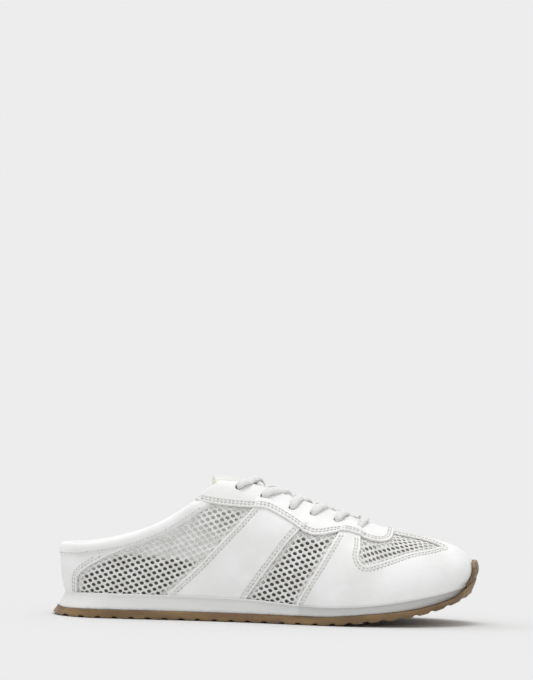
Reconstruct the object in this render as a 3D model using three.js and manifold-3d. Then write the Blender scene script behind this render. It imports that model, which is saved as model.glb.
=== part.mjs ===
// A right sneaker mule: mesh upper with leather overlays on a foam midsole and a gum outsole.
// Frame: millimetres, floor at z = 0, +X towards the toe, +Y towards the inner (medial) side,
// origin on the floor under the middle of the heel.
import * as THREE from 'three';
import { mergeVertices } from 'three/addons/utils/BufferGeometryUtils.js';
import Module from 'manifold-3d';

const wasm = await Module();
wasm.setup();

// Driving dimensions
const LENGTH = 275;
const BALL_WIDTH = 93.5;
const STACK = 15.4;
const OUTSOLE = 5.4;
const TOE_SPRING = 25;
const INSTEP = 92;
const HEEL_INSET = 9;
const TOE_INSET = 9;
const BUMPER_REACH = 2.8;
const BUMPER_THICK = 3;
const BUMPER_SKIRT = 4;
const MIDSOLE_TOE = 6.5;
const WALL = 2.2;
const LEATHER = 1.2;
const GAP = 0.3;
const INSOLE = 3.4;
const TONGUE = 4;
const THROAT_WIDTH = 26;
const BAND_HEIGHT = 9;
const BAND_INSIDE = 5;
const SEAM_GROOVE = 0.8;
const LUG_PITCH = 10.5;
const HEEL_CENTRE = 3.5 * LUG_PITCH;
const LUG_GAP = 3.4;
const LUG_DEPTH = 1.6;
const EYELET = 4;
const LACE_WIDTH = 5;
const LACE_THICK = 2.8;
const LACE_LEAN = 8;

// Grid of the upper's form: ribs from heel to toe, and steps up each side of a rib
const RIBS = 36;
const STEPS = 7;
const SOLE_STATIONS = 24;
const LACE_SIDES = 6;
const LACE_STEPS = 6;
const BAND_STEPS = 36;
const REACH = LENGTH / 2;

// Plan of the shoe. along: share of the length. centre, sole and feather: shares of the ball width,
// where feather is the half width at which the upper meets the midsole.
const PLAN = [
  { along: 0, centre: 0, sole: 0, feather: 0 },
  { along: 0.018, centre: 0, sole: 0.182, feather: 0.15 },
  { along: 0.044, centre: 0, sole: 0.267, feather: 0.222 },
  { along: 0.08, centre: 0, sole: 0.326, feather: 0.273 },
  { along: 0.127, centre: 0, sole: 0.353, feather: 0.302 },
  { along: 0.218, centre: -0.008, sole: 0.35, feather: 0.303 },
  { along: 0.327, centre: -0.024, sole: 0.34, feather: 0.298 },
  { along: 0.418, centre: -0.037, sole: 0.348, feather: 0.31 },
  { along: 0.509, centre: -0.037, sole: 0.39, feather: 0.357 },
  { along: 0.6, centre: -0.029, sole: 0.452, feather: 0.424 },
  { along: 0.673, centre: -0.024, sole: 0.489, feather: 0.464 },
  { along: 0.727, centre: -0.019, sole: 0.5, feather: 0.476 },
  { along: 0.782, centre: -0.011, sole: 0.492, feather: 0.472 },
  { along: 0.836, centre: 0, sole: 0.46, feather: 0.45 },
  { along: 0.891, centre: 0.016, sole: 0.4, feather: 0.403 },
  { along: 0.935, centre: 0.029, sole: 0.325, feather: 0.336 },
  { along: 0.967, centre: 0.035, sole: 0.245, feather: 0.257 },
  { along: 0.989, centre: 0.043, sole: 0.15, feather: 0.158 },
  { along: 1, centre: 0.048, sole: 0, feather: 0 },
];

// Side of the sole. along: share of the length. rise: share of the toe spring.
// tread: share of the outsole's thickness. stack: share of the heel stack above the tread's underside.
const SIDE = [
  { along: 0, rise: 0.04, tread: 0.93, stack: 0.94 },
  { along: 0.04, rise: 0, tread: 0.95, stack: 0.96 },
  { along: 0.12, rise: 0, tread: 1, stack: 1 },
  { along: 0.32, rise: 0, tread: 1, stack: 1 },
  { along: 0.46, rise: 0, tread: 1, stack: 0.94 },
  { along: 0.57, rise: 0, tread: 1, stack: 0.8 },
  { along: 0.615, rise: 0, tread: 1, stack: 0.765 },
  { along: 0.69, rise: 0.048, tread: 1, stack: 0.73 },
  { along: 0.74, rise: 0.11, tread: 0.93, stack: 0.71 },
  { along: 0.79, rise: 0.175, tread: 0.88, stack: 0.73 },
  { along: 0.84, rise: 0.265, tread: 0.82, stack: 0.74 },
  { along: 0.89, rise: 0.4, tread: 0.78, stack: 0.69 },
  { along: 0.93, rise: 0.545, tread: 0.76, stack: 0.62 },
  { along: 0.96, rise: 0.68, tread: 0.78, stack: 0.54 },
  { along: 0.985, rise: 0.84, tread: 0.8, stack: 0.47 },
  { along: 1, rise: 1, tread: 0.8, stack: 0.42 },
];

// Ribs of the upper. foot: share of the feather line's length. crest and up: where the rib meets
// the crest, as shares of the length and of the instep height. climb: how far the rib climbs before
// it leans in. roof: how wide its top is. bulge: how far its side swells, share of the ball width.
const RIB = [
  { foot: 0, crest: 0.0327, up: 0.161, climb: 0.5, roof: 0.5, bulge: 0 },
  { foot: 0.012, crest: 0.0247, up: 0.239, climb: 0.5, roof: 0.62, bulge: 0.006 },
  { foot: 0.042, crest: 0.0182, up: 0.402, climb: 0.5, roof: 0.66, bulge: 0.016 },
  { foot: 0.085, crest: 0.0189, up: 0.565, climb: 0.5, roof: 0.7, bulge: 0.022 },
  { foot: 0.14, crest: 0.0364, up: 0.783, climb: 0.45, roof: 0.74, bulge: 0.024 },
  { foot: 0.21, crest: 0.0945, up: 0.995, climb: 0.42, roof: 0.74, bulge: 0.024 },
  { foot: 0.29, crest: 0.1745, up: 1.076, climb: 0.42, roof: 0.72, bulge: 0.02 },
  { foot: 0.38, crest: 0.2764, up: 1.071, climb: 0.42, roof: 0.7, bulge: 0.016 },
  { foot: 0.455, crest: 0.3636, up: 1.033, climb: 0.42, roof: 0.66, bulge: 0.012 },
  { foot: 0.52, crest: 0.4327, up: 1.011, climb: 0.42, roof: 0.62, bulge: 0.01 },
  { foot: 0.575, crest: 0.4836, up: 0.962, climb: 0.43, roof: 0.58, bulge: 0.01 },
  { foot: 0.64, crest: 0.549, up: 0.88, climb: 0.44, roof: 0.56, bulge: 0.01 },
  { foot: 0.7, crest: 0.618, up: 0.804, climb: 0.46, roof: 0.56, bulge: 0.01 },
  { foot: 0.755, crest: 0.691, up: 0.73, climb: 0.48, roof: 0.58, bulge: 0.01 },
  { foot: 0.8, crest: 0.753, up: 0.661, climb: 0.5, roof: 0.6, bulge: 0.01 },
  { foot: 0.845, crest: 0.811, up: 0.611, climb: 0.52, roof: 0.62, bulge: 0.01 },
  { foot: 0.89, crest: 0.88, up: 0.578, climb: 0.54, roof: 0.64, bulge: 0.01 },
  { foot: 0.93, crest: 0.9364, up: 0.533, climb: 0.55, roof: 0.66, bulge: 0.01 },
  { foot: 0.962, crest: 0.969, up: 0.465, climb: 0.55, roof: 0.66, bulge: 0.008 },
  { foot: 0.985, crest: 0.9822, up: 0.386, climb: 0.5, roof: 0.62, bulge: 0.004 },
  { foot: 1, crest: 0.9673, up: 0.296, climb: 0.5, roof: 0.5, bulge: 0 },
];

// Lines drawn on the shoe's side: [share of the length, share of the instep height]
const TOPLINE = [
  [-0.05, 0.512], [0.03, 0.514], [0.066, 0.518], [0.112, 0.538], [0.158, 0.571], [0.203, 0.614],
  [0.249, 0.679], [0.294, 0.762], [0.34, 0.861], [0.371, 0.927], [0.403, 0.984], [0.43, 1.06],
];
const BAND_END = 0.325;
const EYESTAY_LOWER = [
  [0.3, 0.845], [0.34, 0.81], [0.364, 0.796], [0.42, 0.779], [0.48, 0.771], [0.503, 0.754],
  [0.549, 0.68], [0.573, 0.633], [0.596, 0.605], [0.62, 0.601], [0.66, 0.622], [0.688, 0.616],
  [0.736, 0.572], [0.76, 0.563], [0.779, 0.574], [0.79, 0.607], [0.8, 0.68],
];
const SADDLE_REAR = [[0.272, 0.1], [0.3, 0.26], [0.345, 0.388], [0.389, 0.532], [0.434, 0.677], [0.49, 0.8]];
const SADDLE_FRONT = [[0.44, 0.1], [0.487, 0.305], [0.519, 0.438], [0.55, 0.565], [0.6, 0.72]];
const COUNTER_FRONT = [
  [0.063, 0.1], [0.064, 0.253], [0.068, 0.288], [0.08, 0.323], [0.097, 0.359], [0.118, 0.395],
  [0.14, 0.43], [0.176, 0.477], [0.22, 0.53],
];
const WING_REAR = [[0.56, 0.1], [0.591, 0.276], [0.613, 0.383], [0.635, 0.498], [0.68, 0.72]];
const TOE_WINDOW = [
  [0.715, 0.9], [0.711, 0.543], [0.708, 0.496], [0.707, 0.454], [0.714, 0.414], [0.724, 0.409],
  [0.735, 0.412], [0.781, 0.453], [0.825, 0.491], [0.875, 0.515], [0.898, 0.532], [0.906, 0.56],
  [0.906, 0.9],
];
const BUMPER = [
  [0.945, 0.1], [0.958, 0.22], [0.973, 0.275], [0.981, 0.32], [0.985, 0.37], [0.988, 0.41],
  [0.991, 0.44], [0.997, 0.457],
];

// Plan outlines about the centre line, half widths as shares of the ball width
const VAMP_STRIP = [
  { along: 0.76, half: 0.08 }, { along: 0.8, half: 0.083 }, { along: 0.84, half: 0.092 },
  { along: 0.875, half: 0.12 }, { along: 0.92, half: 0.2 },
];
const TONGUE_PLAN = [
  { along: 0.368, half: 0.2 }, { along: 0.374, half: 0.26 }, { along: 0.395, half: 0.29 },
  { along: 0.45, half: 0.29 }, { along: 0.55, half: 0.25 }, { along: 0.65, half: 0.21 },
  { along: 0.74, half: 0.17 }, { along: 0.775, half: 0.15 }, { along: 0.782, half: 0.08 },
];

// Eyelets from the top down, on the same measure, and the throat's half width there as a share
const EYELETS = [
  { along: 0.428, up: 0.91, throat: 0.5 },
  { along: 0.486, up: 0.852, throat: 0.47 },
  { along: 0.552, up: 0.778, throat: 0.43 },
  { along: 0.601, up: 0.737, throat: 0.4 },
  { along: 0.656, up: 0.696, throat: 0.36 },
  { along: 0.711, up: 0.659, throat: 0.32 },
];
const THROAT_FRONT = 0.742;

const material = (hex, roughness) => new THREE.MeshStandardMaterial({ color: hex, roughness, metalness: 0 });
const LEATHER_WHITE = material(0xe6e4df, 0.55);
const MESH_WHITE = material(0xd8d8d6, 0.9);
const FOAM_WHITE = material(0xdedcd8, 0.75);
const GUM = material(0x77624a, 0.6);
const LINING = material(0xe8e6e0, 0.9);
const LACE = material(0xc9c8c5, 0.9);

// Smooth interpolation in a table, without overshoot
function read(table, column, key, x) {
  const last = table.length - 1;
  let i = 0;
  while (i < last - 1 && x > table[i + 1][key]) i += 1;
  const slope = (j) => (table[j + 1][column] - table[j][column]) / (table[j + 1][key] - table[j][key]);
  const tangent = (j) => {
    if (j === 0) return slope(0);
    if (j === last) return slope(last - 1);
    const before = slope(j - 1);
    const after = slope(j);
    return before * after <= 0 ? 0 : (2 * before * after) / (before + after);
  };
  const width = table[i + 1][key] - table[i][key];
  const u = THREE.MathUtils.clamp((x - table[i][key]) / width, 0, 1);
  const u2 = u * u;
  const u3 = u2 * u;
  return (2 * u3 - 3 * u2 + 1) * table[i][column] + (u3 - 2 * u2 + u) * width * tangent(i)
    + (3 * u2 - 2 * u3) * table[i + 1][column] + (u3 - u2) * width * tangent(i + 1);
}

// Along a rounded outline, equal steps of the turn put more points at the round ends
const turn = (along) => Math.acos(1 - 2 * THREE.MathUtils.clamp(along, 0, 1)) / Math.PI;
const PLAN_BY_TURN = PLAN.map((row) => ({ ...row, turn: turn(row.along) }));
const halfWidth = (column, along) => BALL_WIDTH * read(PLAN_BY_TURN, column, 'turn', turn(along));
const centreLine = (along) => BALL_WIDTH * read(PLAN_BY_TURN, 'centre', 'turn', turn(along));

const toX = (along) => along * LENGTH - HEEL_CENTRE;
const toAlong = (x) => (x + HEEL_CENTRE) / LENGTH;
const treadUnder = (x) => TOE_SPRING * read(SIDE, 'rise', 'along', toAlong(x));
const treadTop = (x) => treadUnder(x) + OUTSOLE * read(SIDE, 'tread', 'along', toAlong(x));
const stackTop = (x) => treadUnder(x) + STACK * read(SIDE, 'stack', 'along', toAlong(x));

// A mesh geometry from points and triangles
function fromTriangles(points, triangles) {
  const geometry = new THREE.BufferGeometry();
  geometry.setAttribute('position', new THREE.Float32BufferAttribute(points.flatMap((p) => p.toArray()), 3));
  geometry.setIndex(triangles);
  return geometry;
}

// A solid of a closed geometry, for joining and cutting
function solid(geometry) {
  const bare = geometry.clone();
  bare.deleteAttribute('normal');
  bare.deleteAttribute('uv');
  const merged = mergeVertices(bare, 1e-4);
  const index = Array.from(merged.index.array);
  const kept = [];
  for (let i = 0; i < index.length; i += 3) {
    const [a, b, c] = index.slice(i, i + 3);
    if (a !== b && b !== c && c !== a) kept.push(a, b, c);
  }
  return new wasm.Manifold(new wasm.Mesh({
    numProp: 3,
    vertProperties: new Float32Array(merged.attributes.position.array),
    triVerts: new Uint32Array(kept),
  }));
}

function toMesh(name, body, look) {
  const found = body.getMesh();
  const geometry = new THREE.BufferGeometry();
  geometry.setAttribute('position', new THREE.Float32BufferAttribute(found.vertProperties, 3));
  geometry.setIndex(Array.from(found.triVerts));
  const mesh = new THREE.Mesh(geometry, look);
  mesh.name = name;
  return mesh;
}

// A closed body from a stack of loops. Each loop runs out along the lateral side and back along
// the medial one, so that its ends are capped by strips straight across the shoe.
function stackOfLoops(loops) {
  const count = loops[0].length;
  const half = count / 2;
  const points = loops.flat();
  const triangles = [];
  for (let level = 0; level < loops.length - 1; level += 1) {
    for (let i = 0; i < count; i += 1) {
      const a = level * count + i;
      const b = level * count + ((i + 1) % count);
      triangles.push(a, b, b + count, a, b + count, a + count);
    }
  }
  const top = (loops.length - 1) * count;
  const partner = (i) => (count - i) % count;
  for (let i = 0; i < half; i += 1) {
    const [a, b, c, d] = [i, i + 1, partner(i + 1), partner(i)];
    triangles.push(a, c, b, a, d, c);
    triangles.push(top + a, top + b, top + c, top + a, top + c, top + d);
  }
  return fromTriangles(points, triangles);
}

// One loop of the sole: its outline between the sole's edge (0) and the feather line (1), moved in
// by a distance, with its tip a distance behind the toe, at a height worked out from x
function soleLoop(blend, inset, toeBack, height) {
  const plan = [];
  const count = 2 * SOLE_STATIONS;
  const heelAt = blend * HEEL_INSET;
  const toeAt = LENGTH - THREE.MathUtils.lerp(toeBack, TOE_INSET, blend);
  for (let i = 0; i < count; i += 1) {
    const along = (1 - Math.cos((2 * Math.PI * i) / count)) / 2;
    const side = i <= SOLE_STATIONS ? -1 : 1;
    const half = THREE.MathUtils.lerp(halfWidth('sole', along), halfWidth('feather', along), blend);
    const s = THREE.MathUtils.lerp(heelAt, toeAt, along);
    plan.push(new THREE.Vector2(s - HEEL_CENTRE, centreLine(along) + side * half));
  }
  return plan.map((p, i) => {
    const before = plan[(i + count - 1) % count];
    const after = plan[(i + 1) % count];
    const inward = new THREE.Vector2(before.y - after.y, after.x - before.x).normalize();
    const q = p.clone().addScaledVector(inward, inset);
    return new THREE.Vector3(q.x, q.y, height(q.x));
  });
}

// The upper's form
const ribCurve = (column, scale) => (t) => {
  const at = t * (RIB.length - 1);
  const i = Math.min(Math.floor(at), RIB.length - 2);
  const value = (j) => RIB[THREE.MathUtils.clamp(j, 0, RIB.length - 1)][column] * scale;
  const u = at - i;
  const [p0, p1, p2, p3] = [value(i - 1), value(i), value(i + 1), value(i + 2)];
  return p1 + 0.5 * u * (p2 - p0 + u * (2 * p0 - 5 * p1 + 4 * p2 - p3 + u * (3 * (p1 - p2) + p3 - p0)));
};
const ribFoot = ribCurve('foot', 1);
const ribCrest = ribCurve('crest', LENGTH);
const ribUp = ribCurve('up', INSTEP);
const ribClimb = ribCurve('climb', 1);
const ribRoof = ribCurve('roof', 1);
const ribBulge = ribCurve('bulge', BALL_WIDTH);

// A point of the form: t runs from heel to toe, v from -1 (lateral foot) over 0 (crest) to 1
function form(t, v) {
  const along = THREE.MathUtils.clamp(ribFoot(t), 0, 1);
  const side = v < 0 ? -1 : 1;
  const half = halfWidth('feather', along);
  const footX = THREE.MathUtils.lerp(HEEL_INSET, LENGTH - TOE_INSET, along) - HEEL_CENTRE;
  const centre = centreLine(along);
  const foot = new THREE.Vector3(footX, centre + side * half, stackTop(footX) + GAP);
  const crest = new THREE.Vector3(ribCrest(t) - HEEL_CENTRE, centre, ribUp(t));
  const climb = ribClimb(t);
  const low = new THREE.Vector3(
    THREE.MathUtils.lerp(foot.x, crest.x, climb * climb),
    foot.y + side * ribBulge(t),
    THREE.MathUtils.lerp(foot.z, crest.z, climb),
  );
  const high = new THREE.Vector3(crest.x, centre + side * half * ribRoof(t), crest.z);
  return new THREE.CubicBezierCurve3(foot, low, high, crest).getPoint(1 - Math.abs(v));
}

function formNormal(t, v) {
  const step = 1e-3;
  const tt = THREE.MathUtils.clamp(t, 0.012, 0.988);
  const vv = THREE.MathUtils.clamp(v, -1 + step, 1 - step);
  const alongT = form(tt + step, vv).sub(form(tt - step, vv));
  const alongV = form(tt, vv + step).sub(form(tt, vv - step));
  return alongV.cross(alongT).normalize().negate();
}

function offsetForm(t, v, distance) {
  return form(t, v).addScaledVector(formNormal(t, v), distance);
}

// A closed dome between two distances from the form, open underneath, its rim lowered by a skirt
function dome(outer, inner, skirt = 0) {
  const across = 2 * STEPS + 1;
  const points = [];
  const triangles = [];
  for (const distance of [outer, inner]) {
    for (let i = 0; i <= RIBS; i += 1) {
      for (let j = 0; j < across; j += 1) {
        const pole = i === 0 || i === RIBS;
        const [t, v] = [i / RIBS, (j - STEPS) / STEPS];
        const point = form(t, v).addScaledVector(formNormal(t, pole ? 0 : v), distance);
        if (pole || Math.abs(v) === 1) point.z = stackTop(point.x) + GAP - skirt;
        points.push(point);
      }
    }
  }
  const layer = (RIBS + 1) * across;
  for (let i = 0; i < RIBS; i += 1) {
    for (let j = 0; j < across - 1; j += 1) {
      const a = i * across + j;
      const b = a + across;
      triangles.push(a, b, b + 1, a, b + 1, a + 1);
      triangles.push(layer + a, layer + b + 1, layer + b, layer + a, layer + a + 1, layer + b + 1);
    }
    for (const [j, first] of [[0, true], [across - 1, false]]) {
      const a = i * across + j;
      const b = a + across;
      const quad = [a, layer + a, layer + b, b];
      if (!first) quad.reverse();
      triangles.push(quad[0], quad[1], quad[2], quad[0], quad[2], quad[3]);
    }
  }
  return solid(fromTriangles(points, triangles));
}

// A prism across the shoe from a line drawn on its side
function sidePrism(points) {
  const shape = new THREE.Shape(points.map(([along, up]) => new THREE.Vector2(toX(along), up * INSTEP)));
  const geometry = new THREE.ExtrudeGeometry(shape, { depth: 2 * REACH, bevelEnabled: false });
  geometry.rotateX(Math.PI / 2);
  geometry.translate(0, REACH, 0);
  return solid(geometry);
}

// A prism straight up from an outline drawn on the plan, in millimetres
function planPrism(points, low, high) {
  const shape = new THREE.Shape(points.map(([x, y]) => new THREE.Vector2(x, y)));
  const geometry = new THREE.ExtrudeGeometry(shape, { depth: high - low, bevelEnabled: false });
  geometry.translate(0, 0, low);
  return solid(geometry);
}

// Where on the form a miss function is smallest
function search(miss, sides) {
  let best = { t: 0.5, v: 0, miss: Infinity };
  const consider = (t, v) => {
    const found = miss(form(t, v));
    if (found < best.miss) best = { t, v, miss: found };
  };
  for (const side of sides) {
    for (let i = 1; i < RIBS; i += 1) {
      for (let j = 0; j <= STEPS; j += 1) consider(i / RIBS, (side * j) / STEPS);
    }
  }
  for (let reach = 0.5 / RIBS; reach > 1e-5; reach /= 2) {
    for (let round = 0; round < 4; round += 1) {
      const { t, v } = best;
      for (const [dt, dv] of [[1, 0], [-1, 0], [0, 2], [0, -2]]) consider(t + dt * reach, v + dv * reach);
    }
  }
  return best;
}

// A tube or band swept through frames {at, across, out}, with a closed section of [across, out] pairs
function sweep(frames, section) {
  const count = section.length;
  const points = frames.flatMap((frame) => section.map(([a, b]) => frame.at.clone()
    .addScaledVector(frame.across, a).addScaledVector(frame.out, b)));
  const triangles = [];
  for (let k = 0; k < frames.length - 1; k += 1) {
    for (let i = 0; i < count; i += 1) {
      const a = k * count + i;
      const b = k * count + ((i + 1) % count);
      triangles.push(a, b, b + count, a, b + count, a + count);
    }
  }
  const last = (frames.length - 1) * count;
  for (let i = 1; i < count - 1; i += 1) triangles.push(0, i + 1, i, last, last + i, last + i + 1);
  return solid(fromTriangles(points, triangles));
}

// Side view regions, from lines of [along, up] shares
const HIGH = 3;
const above = (line) => sidePrism([...line, [line.at(-1)[0], HIGH], [line[0][0], HIGH]]);
const between = (rear, front) => sidePrism([...front, ...rear.slice().reverse()]);
const lowered = (line, distance) => line.map(([along, up]) => [along, up - distance / INSTEP]);

// The height of a side line at a share of the length
function heightOf(line, along) {
  const i = Math.max(1, line.findIndex(([a]) => a > along));
  const [[a0, u0], [a1, u1]] = [line[i - 1], line[i]];
  return u0 + ((u1 - u0) * (along - a0)) / (a1 - a0);
}

// The collar's seam runs below the topline by the band's height, measured square to the line
const BAND_TOP = [...TOPLINE.filter(([along]) => along < BAND_END), [BAND_END, heightOf(TOPLINE, BAND_END)]];
const SEAM = BAND_TOP.map(([along, up], i) => {
  const before = BAND_TOP[Math.max(i - 1, 0)];
  const after = BAND_TOP[Math.min(i + 1, BAND_TOP.length - 1)];
  const run = (after[0] - before[0]) * LENGTH;
  const climb = (after[1] - before[1]) * INSTEP;
  const size = Math.hypot(run, climb);
  return [along + (BAND_HEIGHT * climb) / size / LENGTH, up - (BAND_HEIGHT * run) / size / INSTEP];
});

// The upper's rim: the band's seam, then a step up to the topline in front of the band
const RIM = [...SEAM, BAND_TOP.at(-1), ...TOPLINE.filter(([along]) => along > BAND_END)];

// A plan outline symmetrical about the shoe's centre line, from rows of {along, half}
function planShape(rows) {
  const side = (row, sign) => [toX(row.along), centreLine(row.along) + sign * row.half];
  return [...rows.map((row) => side(row, -1)), ...rows.slice().reverse().map((row) => side(row, 1))];
}

const EYELET_AT = EYELETS.map(({ along, up, throat }) => {
  const sideMiss = (p) => Math.hypot(p.x - toX(along), p.z - up * INSTEP);
  return { lateral: search(sideMiss, [-1]), medial: search(sideMiss, [1]), along, half: throat * THROAT_WIDTH };
});

function throat() {
  const rows = EYELET_AT.map(({ along, half }) => ({ along, half }));
  const first = { along: BAND_END - 0.05, half: rows[0].half };
  const end = rows.at(-1);
  for (const angle of [30, 60, 85]) {
    const bend = THREE.MathUtils.degToRad(angle);
    rows.push({
      along: end.along + (THROAT_FRONT - end.along) * Math.sin(bend),
      half: end.half * Math.cos(bend),
    });
  }
  return planPrism(planShape([first, ...rows]), STACK * 2, INSTEP * HIGH);
}

function eyeletHoles() {
  const holes = EYELET_AT.flatMap(({ lateral, medial }) => [lateral, medial]).map(({ t, v }) => {
    const geometry = new THREE.CylinderGeometry(EYELET / 2, EYELET / 2, 6 * WALL, 6);
    const out = formNormal(t, v);
    geometry.applyQuaternion(new THREE.Quaternion().setFromUnitVectors(new THREE.Vector3(0, 1, 0), out));
    const at = form(t, v);
    geometry.translate(at.x, at.y, at.z);
    return solid(geometry);
  });
  return holes.reduce((all, hole) => all.add(hole));
}

const OVER = GAP + LEATHER;
const collarOpening = above(RIM);
const throatOpening = throat();
const punched = eyeletHoles();
const skin = dome(OVER, GAP);
const underEyestay = above(lowered(EYESTAY_LOWER, GAP));
const toeSide = (line) => sidePrism([...line, [1.2, line.at(-1)[1]], [1.2, line[0][1]]]);
const heelSide = (line) => sidePrism([...line, [-0.2, line.at(-1)[1]], [-0.2, line[0][1]]].reverse());

function upper() {
  return dome(0, -WALL).subtract(collarOpening).subtract(throatOpening).subtract(punched);
}

function eyestay() {
  return skin.intersect(above(EYESTAY_LOWER)).subtract(collarOpening).subtract(throatOpening).subtract(punched);
}

function toeCap() {
  const strip = planPrism(planShape(VAMP_STRIP.map(({ along, half }) => ({ along, half: half * BALL_WIDTH }))),
    STACK, INSTEP);
  const window = sidePrism(TOE_WINDOW).subtract(strip);
  return skin.intersect(toeSide(WING_REAR)).subtract(underEyestay).subtract(window);
}

function saddle(side) {
  const half = planPrism([[-REACH, 0], [2 * REACH, 0], [2 * REACH, side * REACH], [-REACH, side * REACH]], 0, REACH);
  return skin.intersect(between(SADDLE_REAR, SADDLE_FRONT)).subtract(underEyestay).intersect(half);
}

function heelCounter() {
  return skin.intersect(heelSide(COUNTER_FRONT)).subtract(above(lowered(SEAM, GAP)));
}

// The padded roll follows the topline round the heel, from one lace stay to the other
function collarBand() {
  const axis = new THREE.Vector2(toX(0.15), 0);
  const rise = (p) => p.z - INSTEP * heightOf(TOPLINE, toAlong(p.x));
  const front = 26;
  const path = [];
  for (let angle = front; angle <= 360 - front; angle += 4) {
    const turnTo = THREE.MathUtils.degToRad(angle);
    const ray = new THREE.Vector2(Math.cos(turnTo), -Math.sin(turnTo));
    const miss = (p) => {
      const flat = new THREE.Vector2(p.x, p.y).sub(axis);
      const beside = flat.dot(ray) > 0 ? Math.abs(flat.cross(ray)) : REACH;
      return Math.hypot(beside, rise(p)) + (toAlong(p.x) > 0.45 ? REACH : 0);
    };
    const found = search(miss, [-1, 1]);
    path.push(form(found.t, found.v));
  }
  const end = toX(BAND_END) - 2 * GAP;
  const tip = (side) => {
    const found = search((p) => Math.hypot(p.x - end, rise(p)), [side]);
    return form(found.t, found.v);
  };
  const run = new THREE.CatmullRomCurve3([tip(-1), ...path.filter((p) => p.x < end - BAND_HEIGHT / 2), tip(1)]);
  const frames = run.getSpacedPoints(BAND_STEPS).map((p, i) => {
    const found = search((q) => q.distanceTo(p), [-1, 1]);
    const out = formNormal(found.t, found.v);
    const along = run.getTangentAt(i / BAND_STEPS);
    return { at: form(found.t, found.v), across: along.clone().cross(out).normalize(), out };
  });
  const low = SEAM_GROOVE - BAND_HEIGHT;
  const section = [
    [low, OVER], [0.25 * low, OVER + 0.3], [0.08 * low, 0.4 * OVER], [0, -0.15 * BAND_INSIDE],
    [0.03 * low, -0.5 * BAND_INSIDE], [0.2 * low, -0.9 * BAND_INSIDE], [0.55 * low, -BAND_INSIDE],
    [low, -0.8 * BAND_INSIDE],
  ];
  return sweep(frames, section);
}

function tongue() {
  const outside = -WALL - GAP;
  const outline = planShape(TONGUE_PLAN.map(({ along, half }) => ({ along, half: half * BALL_WIDTH })));
  return dome(outside, outside - TONGUE).intersect(planPrism(outline, STACK * 2, INSTEP * HIGH));
}

function midsole(bumper) {
  const inset = 0.9;
  const round = 1.1;
  const under = (x) => treadTop(x) + GAP;
  const loops = [
    soleLoop(0, inset + round / 2, MIDSOLE_TOE, under),
    soleLoop(0, inset, MIDSOLE_TOE, (x) => under(x) + round),
    soleLoop(0.5, 0, MIDSOLE_TOE, (x) => (under(x) + stackTop(x)) / 2),
    soleLoop(1, -OVER - 0.4, MIDSOLE_TOE, (x) => stackTop(x) - round),
    soleLoop(1, -OVER + round / 2, MIDSOLE_TOE, stackTop),
  ];
  return solid(stackOfLoops(loops)).subtract(bumper);
}

const bumperRegion = (grown) => sidePrism([
  ...BUMPER.map(([along, up]) => [along - grown / LENGTH, up]),
  [1.2, BUMPER.at(-1)[1]], [1.2, BUMPER[0][1]],
]);

function outsole() {
  const edge = 0.8;
  const loops = [
    soleLoop(0, 2.7 * edge, BUMPER_REACH, treadUnder),
    soleLoop(0, edge, BUMPER_REACH, (x) => treadUnder(x) + edge),
    soleLoop(0, 0, BUMPER_REACH, (x) => THREE.MathUtils.lerp(treadUnder(x), treadTop(x), 0.7)),
    soleLoop(0, edge, BUMPER_REACH, treadTop),
  ];
  const strip = dome(OVER + BUMPER_THICK, OVER + GAP, BUMPER_SKIRT).intersect(bumperRegion(0));
  let body = solid(stackOfLoops(loops)).add(strip);
  for (let s = LUG_PITCH; s < LENGTH - LUG_PITCH / 2; s += LUG_PITCH) {
    const x = s - HEEL_CENTRE;
    const slope = Math.atan2(treadUnder(x + 1) - treadUnder(x - 1), 2);
    const groove = new THREE.BoxGeometry(LUG_GAP, 2 * BALL_WIDTH, 2 * LUG_DEPTH);
    groove.rotateY(-slope);
    groove.translate(x, 0, treadUnder(x));
    body = body.subtract(solid(groove));
  }
  return body;
}

function insole() {
  const inset = WALL + 2 * GAP;
  const loops = [
    soleLoop(1, inset + GAP, TOE_INSET, (x) => stackTop(x) + GAP),
    soleLoop(1, inset, TOE_INSET, (x) => stackTop(x) + GAP + INSOLE / 2),
    soleLoop(1, inset + GAP, TOE_INSET, (x) => stackTop(x) + GAP + INSOLE),
  ];
  return solid(stackOfLoops(loops));
}

// Laces. A run goes over the throat through {x, y, off} points, off being above the form.
const LACE_OVER = OVER + 3 * GAP + LACE_THICK / 2;

function laceRun(points) {
  const placed = points.map(({ x, y, off }) => {
    const found = search((p) => Math.hypot(p.x - x, p.y - y), [-1, 1]);
    return { at: offsetForm(found.t, found.v, off), out: formNormal(found.t, found.v) };
  });
  const run = new THREE.CatmullRomCurve3(placed.map(({ at }) => at));
  const frames = [];
  for (let i = 0; i <= LACE_STEPS; i += 1) {
    const u = (i / LACE_STEPS) * (placed.length - 1);
    const k = Math.min(Math.floor(u), placed.length - 2);
    const along = run.getTangent(i / LACE_STEPS);
    const out = placed[k].out.clone().lerp(placed[k + 1].out, u - k);
    const across = along.clone().cross(out).normalize();
    frames.push({ at: run.getPoint(i / LACE_STEPS), across, out: across.clone().cross(along).normalize() });
  }
  const section = [];
  for (let i = 0; i < LACE_SIDES; i += 1) {
    const angle = (-Math.PI * (2 * i + 1)) / LACE_SIDES;
    section.push([(LACE_WIDTH / 2) * Math.cos(angle), (LACE_THICK / 2) * Math.sin(angle)]);
  }
  return sweep(frames, section);
}

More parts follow.
